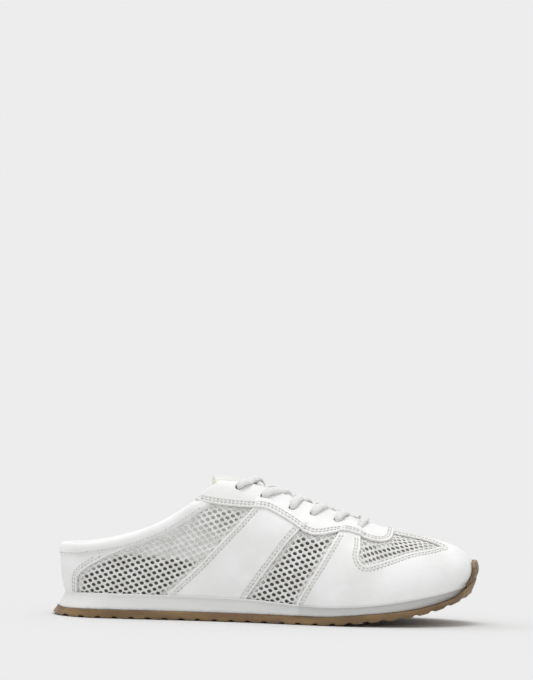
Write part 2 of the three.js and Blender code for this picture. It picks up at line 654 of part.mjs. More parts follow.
// One strand of a crossing: out of the eyelet, over the throat's edge, down to the far edge's inside
function laceStrand(level, side) {
  const [here, next] = [EYELET_AT[level], EYELET_AT[level + 1]];
  const start = form(here[side < 0 ? 'lateral' : 'medial'].t, here[side < 0 ? 'lateral' : 'medial'].v);
  const end = { x: toX(next.along) + LACE_LEAN * 0.3, y: centreLine(next.along) - side * (next.half - LACE_WIDTH / 2) };
  const edge = { x: start.x + LACE_LEAN, y: centreLine(here.along) + side * here.half };
  return laceRun([
    { x: start.x, y: start.y, off: LACE_OVER },
    { x: edge.x, y: edge.y, off: LACE_OVER },
    { x: (edge.x + end.x) / 2, y: (edge.y + end.y) / 2, off: LACE_THICK / 2 },
    { x: end.x, y: end.y, off: LACE_THICK / 2 - WALL + GAP },
  ]);
}

const laceCross = (level) => laceStrand(level, -1).add(laceStrand(level, 1));

function laceBar() {
  const { lateral, medial, along, half } = EYELET_AT.at(-1);
  const [start, end] = [form(lateral.t, lateral.v), form(medial.t, medial.v)];
  const x = toX(along) + LACE_LEAN * 0.6;
  return laceRun([
    { x: start.x, y: start.y, off: LACE_OVER },
    { x, y: centreLine(along) - half, off: LACE_OVER },
    { x, y: centreLine(along), off: LACE_OVER - GAP },
    { x, y: centreLine(along) + half, off: LACE_OVER },
    { x: end.x, y: end.y, off: LACE_OVER },
  ]);
}

const shoe = new THREE.Group();
const bumperSpace = dome(4 * BUMPER_THICK, OVER, BUMPER_SKIRT + GAP).intersect(bumperRegion(GAP));
shoe.add(
  toMesh('outsole', outsole(), GUM),
  toMesh('midsole', midsole(bumperSpace), FOAM_WHITE),
  toMesh('insole', insole(), LINING),
  toMesh('upper', upper(), MESH_WHITE),
  toMesh('toe_cap', toeCap(), LEATHER_WHITE),
  toMesh('eyestay', eyestay(), LEATHER_WHITE),
  toMesh('saddle_lateral', saddle(-1), LEATHER_WHITE),
  toMesh('saddle_medial', saddle(1), LEATHER_WHITE),
  toMesh('heel_counter', heelCounter(), LEATHER_WHITE),
  toMesh('collar_band', collarBand(), LEATHER_WHITE),
  toMesh('tongue', tongue(), LINING),
  toMesh('lace_bar', laceBar(), LACE),
);
for (let level = 0; level < EYELETS.length - 1; level += 1) {
  shoe.add(toMesh(`lace_cross_${level + 1}`, laceCross(level), LACE));
}

export default shoe;
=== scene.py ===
"""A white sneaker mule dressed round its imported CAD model.

Lengths are millimetres while the pieces are worked out, and metres once they are meshes. The frame is
the CAD model's: floor at z = 0, +X towards the toe, +Y towards the inner (medial) side.
"""

import logging
import math
from dataclasses import dataclass, field
from enum import Enum
from typing import Callable, Iterable, Sequence

import bmesh
import bpy
import numpy as np
from mathutils import Matrix, Vector, kdtree


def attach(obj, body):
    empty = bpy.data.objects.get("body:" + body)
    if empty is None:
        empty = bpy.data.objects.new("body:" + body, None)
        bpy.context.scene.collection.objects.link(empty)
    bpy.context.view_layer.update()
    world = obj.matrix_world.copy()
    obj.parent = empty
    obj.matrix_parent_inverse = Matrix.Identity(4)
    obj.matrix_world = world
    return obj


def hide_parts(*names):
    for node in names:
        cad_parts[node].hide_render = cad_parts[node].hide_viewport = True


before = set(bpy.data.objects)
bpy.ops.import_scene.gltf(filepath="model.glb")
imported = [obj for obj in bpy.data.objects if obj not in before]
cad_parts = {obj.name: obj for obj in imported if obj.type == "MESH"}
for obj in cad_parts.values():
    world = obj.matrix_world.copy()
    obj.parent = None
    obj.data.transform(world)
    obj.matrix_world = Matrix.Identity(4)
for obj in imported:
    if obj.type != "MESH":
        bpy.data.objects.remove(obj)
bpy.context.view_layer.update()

log = logging.getLogger("sneaker_mule")

MM = 0.001
Array = np.ndarray
Object = bpy.types.Object
Material = bpy.types.Material
Tree = bpy.types.NodeTree
Socket = bpy.types.NodeSocket

# Plan of the shoe: share of the length, centre line, half width of the sole's edge and of the feather
# line where the upper meets the midsole, the last three as shares of the ball width
PLAN = np.array([
    (0.0, 0.0, 0.0, 0.0), (0.018, 0.0, 0.182, 0.15), (0.044, 0.0, 0.267, 0.222),
    (0.08, 0.0, 0.326, 0.273), (0.127, 0.0, 0.353, 0.302), (0.218, -0.008, 0.35, 0.303),
    (0.327, -0.024, 0.34, 0.298), (0.418, -0.037, 0.348, 0.31), (0.509, -0.037, 0.39, 0.357),
    (0.6, -0.029, 0.452, 0.424), (0.673, -0.024, 0.489, 0.464), (0.727, -0.019, 0.5, 0.476),
    (0.782, -0.011, 0.492, 0.472), (0.836, 0.0, 0.46, 0.45), (0.891, 0.016, 0.4, 0.403),
    (0.935, 0.029, 0.325, 0.336), (0.967, 0.035, 0.245, 0.257), (0.989, 0.043, 0.15, 0.158),
    (1.0, 0.048, 0.0, 0.0),
])

# Side of the sole: share of the length, and the tread's rise, the tread's thickness and the height of
# the stack as shares of the toe spring, the outsole and the stack
SIDE = np.array([
    (0.0, 0.04, 0.93, 0.94), (0.04, 0.0, 0.95, 0.96), (0.12, 0.0, 1.0, 1.0), (0.32, 0.0, 1.0, 1.0),
    (0.46, 0.0, 1.0, 0.94), (0.57, 0.0, 1.0, 0.8), (0.615, 0.0, 1.0, 0.765), (0.69, 0.048, 1.0, 0.73),
    (0.74, 0.11, 0.93, 0.71), (0.79, 0.175, 0.88, 0.73), (0.84, 0.265, 0.82, 0.74),
    (0.89, 0.4, 0.78, 0.69), (0.93, 0.545, 0.76, 0.62), (0.96, 0.68, 0.78, 0.54),
    (0.985, 0.84, 0.8, 0.47), (1.0, 1.0, 0.8, 0.42),
])

# Ribs of the upper, heel to toe: foot on the feather line, crest along the length, crest's height,
# how far the rib climbs before it leans in, how wide its roof is, and how far its side swells
RIBS = np.array([
    (0.0, 0.0327, 0.161, 0.5, 0.5, 0.0), (0.012, 0.0247, 0.239, 0.5, 0.62, 0.006),
    (0.042, 0.0182, 0.402, 0.5, 0.66, 0.016), (0.085, 0.0189, 0.565, 0.5, 0.7, 0.022),
    (0.14, 0.0364, 0.783, 0.45, 0.74, 0.024), (0.21, 0.0945, 0.995, 0.42, 0.74, 0.024),
    (0.29, 0.1745, 1.076, 0.42, 0.72, 0.02), (0.38, 0.2764, 1.071, 0.42, 0.7, 0.016),
    (0.455, 0.3636, 1.033, 0.42, 0.66, 0.012), (0.52, 0.4327, 1.011, 0.42, 0.62, 0.01),
    (0.575, 0.4836, 0.962, 0.43, 0.58, 0.01), (0.64, 0.549, 0.88, 0.44, 0.56, 0.01),
    (0.7, 0.618, 0.804, 0.46, 0.56, 0.01), (0.755, 0.691, 0.73, 0.48, 0.58, 0.01),
    (0.8, 0.753, 0.661, 0.5, 0.6, 0.01), (0.845, 0.811, 0.611, 0.52, 0.62, 0.01),
    (0.89, 0.88, 0.578, 0.54, 0.64, 0.01), (0.93, 0.9364, 0.533, 0.55, 0.66, 0.01),
    (0.962, 0.969, 0.465, 0.55, 0.66, 0.008), (0.985, 0.9822, 0.386, 0.5, 0.62, 0.004),
    (1.0, 0.9673, 0.296, 0.5, 0.5, 0.0),
])

# Lines drawn on the shoe's side, as shares of the length and of the instep height
Line = Sequence[tuple[float, float]]
TOPLINE: Line = [
    (-0.05, 0.512), (0.03, 0.514), (0.066, 0.518), (0.112, 0.538), (0.158, 0.571), (0.203, 0.614),
    (0.249, 0.679), (0.294, 0.762), (0.34, 0.861), (0.371, 0.927), (0.403, 0.984), (0.43, 1.06),
]
EYESTAY_LOWER: Line = [
    (0.3, 0.845), (0.34, 0.81), (0.364, 0.796), (0.42, 0.779), (0.48, 0.771), (0.503, 0.754),
    (0.549, 0.68), (0.573, 0.633), (0.596, 0.605), (0.62, 0.601), (0.66, 0.622), (0.688, 0.616),
    (0.736, 0.572), (0.76, 0.563), (0.779, 0.574), (0.79, 0.607), (0.8, 0.68),
]
SADDLE_REAR: Line = [(0.243, 0.1), (0.3, 0.26), (0.345, 0.388), (0.389, 0.532), (0.434, 0.677), (0.49, 0.87)]
SADDLE_FRONT: Line = [(0.44, 0.1), (0.487, 0.305), (0.519, 0.438), (0.55, 0.565), (0.6, 0.72)]
COUNTER_FRONT: Line = [
    (0.063, 0.1), (0.064, 0.253), (0.068, 0.288), (0.08, 0.323), (0.097, 0.359), (0.118, 0.395),
    (0.14, 0.43), (0.176, 0.477), (0.22, 0.53),
]
WING_REAR: Line = [(0.56, 0.1), (0.591, 0.276), (0.613, 0.383), (0.635, 0.498), (0.68, 0.72)]
TOE_WINDOW: Line = [
    (0.715, 0.9), (0.711, 0.543), (0.708, 0.496), (0.707, 0.454), (0.714, 0.414), (0.724, 0.409),
    (0.735, 0.412), (0.781, 0.453), (0.825, 0.491), (0.875, 0.515), (0.898, 0.532), (0.906, 0.56),
    (0.906, 0.9),
]
BUMPER: Line = [
    (0.945, 0.1), (0.958, 0.2), (0.97, 0.25), (0.98, 0.3), (0.9855, 0.345), (0.987, 0.385),
    (0.9865, 0.42), (0.9855, 0.447), (0.992, 0.46),
]

# Plan outlines about the centre line: share of the length, half width as a share of the ball width
VAMP_STRIP: Line = [(0.76, 0.08), (0.8, 0.083), (0.84, 0.092), (0.875, 0.12), (0.92, 0.2)]
TONGUE_PLAN: Line = [
    (0.368, 0.2), (0.374, 0.26), (0.395, 0.29), (0.45, 0.29), (0.55, 0.25), (0.65, 0.21),
    (0.74, 0.17), (0.775, 0.15), (0.782, 0.08),
]

# Eyelets from the top down: share of the length, of the instep height, and of the throat's width
EYELETS = [
    (0.428, 0.91, 0.5), (0.486, 0.852, 0.47), (0.552, 0.778, 0.43), (0.601, 0.737, 0.4),
    (0.656, 0.696, 0.36), (0.711, 0.659, 0.32),
]


@dataclass(frozen=True)
class Sizes:
    """The named sizes of the CAD model, in millimetres."""

    length: float = 275.0
    ball_width: float = 93.5
    stack: float = 15.4
    outsole: float = 5.4
    toe_spring: float = 25.0
    instep: float = 92.0
    heel_inset: float = 9.0
    toe_inset: float = 9.0
    bumper_thick: float = 3.0
    bumper_skirt: float = 4.0
    midsole_toe: float = 6.5
    wall: float = 2.2
    leather: float = 1.2
    gap: float = 0.3
    insole: float = 3.4
    tongue: float = 4.0
    throat_width: float = 26.0
    throat_front: float = 0.742
    band_height: float = 9.0
    band_end: float = 0.325
    lug_pitch: float = 10.5
    lug_gap: float = 3.4
    lug_depth: float = 1.6
    eyelet: float = 4.0
    lace_width: float = 5.0
    lace_thick: float = 2.8

    @property
    def heel_centre(self) -> float:
        """Distance from the back of the sole to the frame's origin."""
        return 3.5 * self.lug_pitch

    @property
    def over(self) -> float:
        """Height of the leather's face over the form."""
        return self.gap + self.leather


SIZE = Sizes()

# Distances inside a panel's cut edge at which lockstitch runs, on the overlays and on the collar
STITCH_ROWS = (2.0, 3.6)
COLLAR_ROW = 1.35

# What the attribute "edge" holds where no edge is near, and a distance that is never the nearest
NO_EDGE = 9.0
AWAY = 99.0

# How a cut edge rounds off, from its face to its foot: share of its width gained, of its height lost
CUT_EDGE = ((0.38, 0.03), (0.71, 0.14), (0.92, 0.36), (1.0, 0.62), (1.0, 1.0))


class Side(Enum):
    """A side of the shoe, with the sign that its y and its v have."""

    LATERAL = -1
    MEDIAL = 1

    @property
    def other(self) -> "Side":
        """The side across the shoe."""
        return Side(-self.value)


def smooth(value: Array, low: float, high: float) -> Array:
    """A smooth step from 0 at low to 1 at high.

    Args:
        value: Where to read the step.
        low: Where it starts.
        high: Where it ends.

    Returns:
        The step's height at each value.
    """
    u = np.clip((np.asarray(value, float) - low) / (high - low), 0.0, 1.0)
    return u * u * (3.0 - 2.0 * u)


def unit(vectors: Array) -> Array:
    """Vectors of length 1 along the last axis."""
    return vectors / np.maximum(np.linalg.norm(vectors, axis=-1, keepdims=True), 1e-12)


def read(keys: Array, values: Array, at: Array) -> Array:
    """Smooth interpolation in a table, without overshoot.

    Args:
        keys: Rising keys of the rows.
        values: Values of the rows.
        at: Where to read.

    Returns:
        The value at each place.
    """
    at = np.asarray(at, float)
    slopes = np.diff(values) / np.diff(keys)
    before, after = slopes[:-1], slopes[1:]
    product = before * after
    total = np.where(product > 0, before + after, 1.0)
    inner = np.where(product > 0, 2.0 * product / total, 0.0)
    tangents = np.concatenate([[slopes[0]], inner, [slopes[-1]]])
    i = np.clip(np.searchsorted(keys, at, side="left") - 1, 0, len(keys) - 2)
    width = keys[i + 1] - keys[i]
    u = np.clip((at - keys[i]) / width, 0.0, 1.0)
    return ((2 * u**3 - 3 * u**2 + 1) * values[i] + (u**3 - 2 * u**2 + u) * width * tangents[i]
            + (3 * u**2 - 2 * u**3) * values[i + 1] + (u**3 - u**2) * width * tangents[i + 1])


def turn(along: Array) -> Array:
    """Where a share of the length lies by the turn of a rounded outline."""
    return np.arccos(1.0 - 2.0 * np.clip(along, 0.0, 1.0)) / np.pi


def curve(points: Array, steps: int) -> Array:
    """A smooth line through points.

    Args:
        points: The points, one a row.
        steps: Steps between one point and the next.

    Returns:
        The line's points.
    """
    points = np.asarray(points, float)
    padded = np.vstack([2 * points[0] - points[1], points, 2 * points[-1] - points[-2]])
    found = []
    for p0, p1, p2, p3 in zip(padded, padded[1:], padded[2:], padded[3:]):
        u = (np.arange(steps) / steps)[:, None]
        found.append(0.5 * (2 * p1 + (p2 - p0) * u + (2 * p0 - 5 * p1 + 4 * p2 - p3) * u**2
                            + (3 * p1 - p0 - 3 * p2 + p3) * u**3))
    return np.vstack(found + [points[-1:]])


def spaced(points: Array, count: int) -> Array:
    """Points at equal distances along a line.

    Args:
        points: The line's points, one a row.
        count: How many to return.

    Returns:
        The new points.
    """
    steps = np.linalg.norm(np.diff(points[:, :3], axis=0), axis=1)
    run = np.concatenate([[0.0], np.cumsum(steps)])
    at = np.linspace(0.0, run[-1], count)
    return np.stack([np.interp(at, run, points[:, k]) for k in range(points.shape[1])], axis=1)


def to_x(along: Array) -> Array:
    """The x of a share of the length."""
    return np.asarray(along, float) * SIZE.length - SIZE.heel_centre


def side_height(column: int, x: Array) -> Array:
    """A column of the table of the sole's side, read at x."""
    return read(SIDE[:, 0], SIDE[:, column], (np.asarray(x, float) + SIZE.heel_centre) / SIZE.length)


def tread_under(x: Array) -> Array:
    """Height of the tread's underside."""
    return SIZE.toe_spring * side_height(1, x)


def tread_top(x: Array) -> Array:
    """Height of the gum's top edge."""
    return tread_under(x) + SIZE.outsole * side_height(2, x)


def stack_top(x: Array) -> Array:
    """Height of the midsole's top edge."""
    return tread_under(x) + SIZE.stack * side_height(3, x)


def centre_line(along: Array) -> Array:
    """The y of the shoe's centre line."""
    return SIZE.ball_width * read(turn(PLAN[:, 0]), PLAN[:, 1], turn(along))


def half_width(column: int, along: Array) -> Array:
    """Half width of the sole's edge (2) or of the feather line (3)."""
    return SIZE.ball_width * read(turn(PLAN[:, 0]), PLAN[:, column], turn(along))


def side_line(line: Line, steps: int = 6) -> Array:
    """A smooth line on the shoe's side, in x and z, from shares of its length and instep."""
    return curve(np.array(line) * (SIZE.length, SIZE.instep), steps) - (SIZE.heel_centre, 0.0)


def plan_outline(rows: Line, steps: int = 6) -> Array:
    """A closed outline on the plan, in x and y, from shares along and half widths as shares.

    Args:
        rows: Share of the length, and half width as a share of the ball width.
        steps: Steps between one row and the next.

    Returns:
        The outline's points.
    """
    smoothed = curve(np.array(rows), steps)
    x = to_x(smoothed[:, 0])
    y = centre_line(smoothed[:, 0])
    half = smoothed[:, 1] * SIZE.ball_width
    return np.vstack([np.stack([x, y - half], 1), np.stack([x, y + half], 1)[::-1]])


def gap_squared(points: Array, p: Array, q: Array) -> Array:
    """The square of each flat point's distance to the straight line from p to q."""
    edge = q - p
    off = points - p
    u = np.clip(off @ edge / (edge @ edge), 0.0, 1.0)
    return np.sum((off - u[:, None] * edge) ** 2, axis=1)


def inside(outline: Array, points: Array) -> Array:
    """Signed distance to a closed outline, positive inside it.

    Args:
        outline: The outline's corners, one a row.
        points: Where to measure.

    Returns:
        The distance at each point.
    """
    flat = points.reshape(-1, 2)
    best = np.full(len(flat), np.inf)
    odd = np.zeros(len(flat), bool)
    for p, q in zip(outline, np.roll(outline, -1, axis=0)):
        edge = q - p
        if edge @ edge < 1e-12:
            continue
        best = np.minimum(best, gap_squared(flat, p, q))
        crosses = (p[1] > flat[:, 1]) != (q[1] > flat[:, 1])
        if p[1] != q[1]:
            odd ^= crosses & (flat[:, 0] < p[0] + (flat[:, 1] - p[1]) * edge[0] / edge[1])
    return (np.sqrt(best) * np.where(odd, 1.0, -1.0)).reshape(points.shape[:-1])


# A distance that is past everything on the shoe
FAR = 400.0


def above(line: Array) -> Array:
    """An outline of all that lies above a line on the side."""
    first, last = line[0], line[-1]
    return np.vstack([(first[0] - FAR, first[1]), line, (last[0], FAR), (first[0] - FAR, FAR)])


def between(rear: Array, front: Array) -> Array:
    """An outline of what lies between two lines on the side."""
    return np.vstack([front, rear[::-1]])


def toe_side(line: Array, end: float = FAR) -> Array:
    """An outline of all that lies between a line on the side and an x that far away."""
    return np.vstack([line, (end, line[-1][1]), (end, -FAR), (line[0][0], -FAR)])


def heel_side(line: Array) -> Array:
    """An outline of all that lies behind a line on the side."""
    return toe_side(line, -FAR)


def catmull(column: int, t: Array, scale: float) -> Array:
    """A column of the table of ribs at t, through its rows."""
    values = RIBS[:, column] * scale
    last = len(values) - 1
    at = np.asarray(t, float) * last
    i = np.clip(np.floor(at).astype(int), 0, last - 1)
    u = at - i
    p0, p1, p2, p3 = (values[np.clip(i + k, 0, last)] for k in (-1, 0, 1, 2))
    return p1 + 0.5 * u * (p2 - p0 + u * (2 * p0 - 5 * p1 + 4 * p2 - p3 + u * (3 * (p1 - p2) + p3 - p0)))


def form(t: Array, v: Array) -> Array:
    """Points of the upper's form.

    Args:
        t: From heel (0) to toe (1).
        v: From the lateral foot (-1) over the crest (0) to the medial foot (1).

    Returns:
        The points, with x, y and z on the last axis.
    """
    t, v = np.broadcast_arrays(np.asarray(t, float), np.asarray(v, float))
    along = np.clip(catmull(0, t, 1.0), 0.0, 1.0)
    side = np.where(v < 0, -1.0, 1.0)
    half = half_width(3, along)
    foot_x = SIZE.heel_inset + (SIZE.length - SIZE.toe_inset - SIZE.heel_inset) * along - SIZE.heel_centre
    centre = centre_line(along)
    foot_z = stack_top(foot_x) + SIZE.gap
    crest_x = catmull(1, t, SIZE.length) - SIZE.heel_centre
    crest_z = catmull(2, t, SIZE.instep)
    climb = catmull(3, t, 1.0)
    foot = np.stack([foot_x, centre + side * half, foot_z], -1)
    low = np.stack([foot_x + (crest_x - foot_x) * climb**2,
                    centre + side * (half + catmull(5, t, SIZE.ball_width)),
                    foot_z + (crest_z - foot_z) * climb], -1)
    high = np.stack([crest_x, centre + side * half * catmull(4, t, 1.0), crest_z], -1)
    crest = np.stack([crest_x, centre, crest_z], -1)
    u = (1.0 - np.abs(v))[..., None]
    w = 1.0 - u
    return w**3 * foot + 3 * w**2 * u * low + 3 * w * u**2 * high + u**3 * crest


def form_normal(t: Array, v: Array) -> Array:
    """Outward directions square to the form."""
    step = 1e-3
    t, v = np.broadcast_arrays(np.asarray(t, float), np.asarray(v, float))
    tt = np.clip(t, 0.012, 0.988)
    vv = np.where((t <= 0) | (t >= 1), 0.0, np.clip(v, step - 1, 1 - step))
    along_t = form(tt + step, vv) - form(tt - step, vv)
    along_v = form(tt, vv + step) - form(tt, vv - step)
    return -unit(np.cross(along_v, along_t))


@dataclass(frozen=True)
class Fold:
    """A soft trough or ridge laid on both sides of the upper."""

    points: Line
    width: float
    height: float


# Points are shares of the length and of the instep; width and height are millimetres
FOLDS = (
    Fold(((0.33, 0.74), (0.39, 0.55), (0.43, 0.3)), 7.0, 0.35),
    Fold(((0.50, 0.66), (0.475, 0.45), (0.44, 0.22)), 9.0, -0.45),
    Fold(((0.56, 0.52), (0.545, 0.36), (0.53, 0.2)), 6.0, 0.3),
    Fold(((0.70, 0.60), (0.665, 0.42), (0.65, 0.24)), 6.0, -0.6),
    Fold(((0.73, 0.58), (0.695, 0.38), (0.69, 0.25)), 4.5, 0.45),
    Fold(((0.78, 0.42), (0.74, 0.33), (0.70, 0.27)), 5.0, -0.35),
    Fold(((0.07, 0.22), (0.10, 0.30), (0.17, 0.40)), 6.0, -0.3),
    Fold(((0.015, 0.33), (0.05, 0.33), (0.09, 0.27)), 5.0, 0.35),
    Fold(((0.45, 0.9), (0.5, 0.82), (0.57, 0.72)), 5.0, -0.3),
    Fold(((0.60, 0.7), (0.65, 0.66), (0.71, 0.62)), 4.5, 0.25),
    Fold(((0.93, 0.50), (0.95, 0.40), (0.94, 0.34)), 8.0, -0.3),
    Fold(((0.83, 0.44), (0.88, 0.42), (0.92, 0.36)), 9.0, 0.3),
)


def relief(points: Array) -> Array:
    """How far the upper's soft folds push its face out at each point.

    Args:
        points: Points of the form.

    Returns:
        The height of the folds there, in millimetres.
    """
    flat = points[..., [0, 2]].reshape(-1, 2)
    y = points[..., 1].reshape(-1)
    total = np.zeros(len(flat))
    for fold in FOLDS:
        line = curve(np.array(fold.points) * (SIZE.length, SIZE.instep), 5) - (SIZE.heel_centre, 0.0)
        far = np.full(len(flat), np.inf)
        for p, q in zip(line, line[1:]):
            far = np.minimum(far, gap_squared(flat, p, q))
        off_crest = smooth(np.abs(y), 1.0, 14.0)
        total += fold.height * np.exp(-far / fold.width**2) * off_crest
    return total.reshape(points.shape[:-1])


@dataclass
class Surface:
    """The upper's form as a grid of triangles, on which every panel is drawn."""

    ribs: int = 330
    steps: int = 220
    farthest: float = 12.0
    t: Array = field(init=False)
    v: Array = field(init=False)
    at: Array = field(init=False)
    out: Array = field(init=False)
    faces: Array = field(init=False)

    def __post_init__(self) -> None:
        """Work out the grid's points, directions and triangles."""
        t, v = np.meshgrid(np.linspace(0, 1, self.ribs + 1), np.linspace(-1, 1, self.steps + 1),
                           indexing="ij")
        self.t = t.ravel()
        self.v = v.ravel()
        self.at, self.out = self.place(self.t, self.v)
        row = self.steps + 1
        a = (np.arange(self.ribs)[:, None] * row + np.arange(self.steps)[None, :]).ravel()
        b = a + row
        self.faces = np.vstack([np.stack([a, b, b + 1], 1), np.stack([a, b + 1, a + 1], 1)])

    @staticmethod
    def place(t: Array, v: Array) -> tuple[Array, Array]:
        """Points of the folded form and the directions square to it."""
        out = form_normal(t, v)
        at = form(t, v)
        return at + out * relief(at)[..., None], out

    def side_field(self, outline: Array) -> Array:
        """Signed distance inside an outline drawn on the side."""
        return inside(outline, self.at[:, [0, 2]])

    def plan_field(self, outline: Array) -> Array:
        """Signed distance inside an outline drawn on the plan."""
        return inside(outline, self.at[:, :2])

    def clip(self, level: Array, extra: dict[str, Array]) -> tuple[Array, dict[str, Array]]:
        """The part of the grid where a field is positive.

        Args:
            level: The field, one value a grid point.
            extra: Other values to carry over, one array a name.

        Returns:
            The triangles, and the carried values with t and v among them.
        """
        ok = level >= 0
        kept = {"t": self.t, "v": self.v, "level": level, **extra}
        count = ok[self.faces].sum(1)
        pieces = [self.faces[count == 3]]
        cut_from: list[Array] = []
        for wanted, lone_inside in ((1, True), (2, False)):
            some = self.faces[count == wanted]
            lone = np.argmax(ok[some] == lone_inside, axis=1)
            some = np.stack([some[np.arange(len(some)), (lone + k) % 3] for k in range(3)], 1)
            cut_from.append(some)
        edges = np.vstack([cut_from[0][:, [0, 1]], cut_from[0][:, [0, 2]],
                           cut_from[1][:, [0, 1]], cut_from[1][:, [0, 2]]])
        pairs, back = np.unique(np.sort(edges, axis=1), axis=0, return_inverse=True)
        back = back.reshape(-1) + len(self.t)
        share = level[pairs[:, 0]] / (level[pairs[:, 0]] - level[pairs[:, 1]])
        share = np.clip(share, 0.06, 0.94)
        ones, twos = len(cut_from[0]), len(cut_from[1])
        ab, ac = back[:ones], back[ones:2 * ones]
        pieces.append(np.stack([cut_from[0][:, 0], ab, ac], 1))
        ab, ac = back[2 * ones:2 * ones + twos], back[2 * ones + twos:]
        pieces.append(np.stack([ab, cut_from[1][:, 1], cut_from[1][:, 2]], 1))
        pieces.append(np.stack([ab, cut_from[1][:, 2], ac], 1))
        values = {name: np.concatenate([v, v[pairs[:, 0]] * (1 - share) + v[pairs[:, 1]] * share])
                  for name, v in kept.items()}
        values["level"][len(self.t):] = 0.0
        faces = self.joined_ends(values["t"], values["v"])[np.vstack(pieces)]
        used, faces = np.unique(faces, return_inverse=True)
        return faces.reshape(-1, 3), {name: v[used] for name, v in values.items()}

    @staticmethod
    def joined_ends(t: Array, v: Array) -> Array:
        """Which point stands for each, where the form's two sides meet at the heel and at the toe."""
        stands = np.arange(len(t))
        seen: dict[tuple[bool, float], int] = {}
        for i in np.nonzero((t <= 0) | (t >= 1))[0]:
            stands[i] = seen.setdefault((bool(t[i] > 0.5), round(abs(v[i]), 5)), i)
        return stands

    def rim_distance(self, level: Array) -> Array:
        """True distance over the form to where a field changes sign.

        Args:
            level: The field, one value a grid point.

        Returns:
            The distance at each grid point, with the field's sign, and never more than the farthest.
        """
        faces, values = self.clip(level, {})
        at = form(values["t"], values["v"])
        rim = boundary(faces)
        drawn = (values["level"][rim[:, 0]] == 0) & (values["level"][rim[:, 1]] == 0)
        rim = rim[drawn]
        points = np.vstack([at[rim[:, 0]], (at[rim[:, 0]] + at[rim[:, 1]]) / 2])
        tree = kdtree.KDTree(len(points))
        for i, p in enumerate(points):
            tree.insert(p, i)
        tree.balance()
        near = np.abs(level) < self.farthest + 2.0
        far = np.full(len(level), self.farthest)
        far[near] = [tree.find(p)[2] for p in self.at[near]]
        return np.where(level >= 0, 1.0, -1.0) * np.minimum(far, self.farthest)


def boundary(faces: Array) -> Array:
    """The edges that only one triangle uses, in that triangle's direction."""
    edges = np.vstack([faces[:, [0, 1]], faces[:, [1, 2]], faces[:, [2, 0]]])
    _, back, count = np.unique(np.sort(edges, axis=1), axis=0, return_inverse=True, return_counts=True)
    return edges[count[back.reshape(-1)] == 1]


def chains(edges: Array) -> list[list[int]]:
    """Directed edges joined end to end.

    Args:
        edges: Pairs of points.

    Returns:
        Each chain's points in order; a closed one repeats its first point at its end.
    """
    onward: dict[int, list[int]] = {}
    for a, b in edges.tolist():
        onward.setdefault(a, []).append(b)
    arrivals = {b for _, b in edges.tolist()}
    starts = [a for a in onward if a not in arrivals] + list(onward)
    found = []
    for start in starts:
        if not onward.get(start):
            continue
        chain = [start]
        while onward.get(chain[-1]):
            chain.append(onward[chain[-1]].pop())
        found.append(chain)
    return found


def linked(name: str, data: bpy.types.ID) -> Object:
    """A new object in the scene."""
    obj = bpy.data.objects.new(name, data)
    bpy.context.scene.collection.objects.link(obj)
    return obj


def make_mesh(name: str, points: Array, faces: Iterable[Sequence[int]],
              attributes: dict[str, Array] | None = None,
              weld: float = 2e-6, outward: bool = False) -> Object:
    """A smooth mesh object from points in millimetres, without doubles or empty faces.

    Args:
        name: The piece's name.
        points: The points, one a row.
        faces: The corners of each face.
        attributes: Values to keep, one a point.
        weld: Points closer than this, in metres, become one.
        outward: Whether the faces are turned outwards here.

    Returns:
        The object, linked to the scene.
    """
    mesh = bpy.data.meshes.new(name)
    mesh.from_pydata((np.asarray(points) * MM).tolist(), [], [list(map(int, f)) for f in faces])
    for key, values in (attributes or {}).items():
        layer = mesh.attributes.new(key, "FLOAT", "POINT")
        layer.data.foreach_set("value", np.asarray(values, np.float32))
    bm = bmesh.new()
    bm.from_mesh(mesh)
    bmesh.ops.remove_doubles(bm, verts=bm.verts, dist=weld)
    bmesh.ops.dissolve_degenerate(bm, dist=weld, edges=bm.edges)
    if outward:
        bmesh.ops.recalc_face_normals(bm, faces=bm.faces)
    for face in bm.faces:
        face.smooth = True
    bm.to_mesh(mesh)
    bm.free()
    mesh.update()
    return linked(name, mesh)


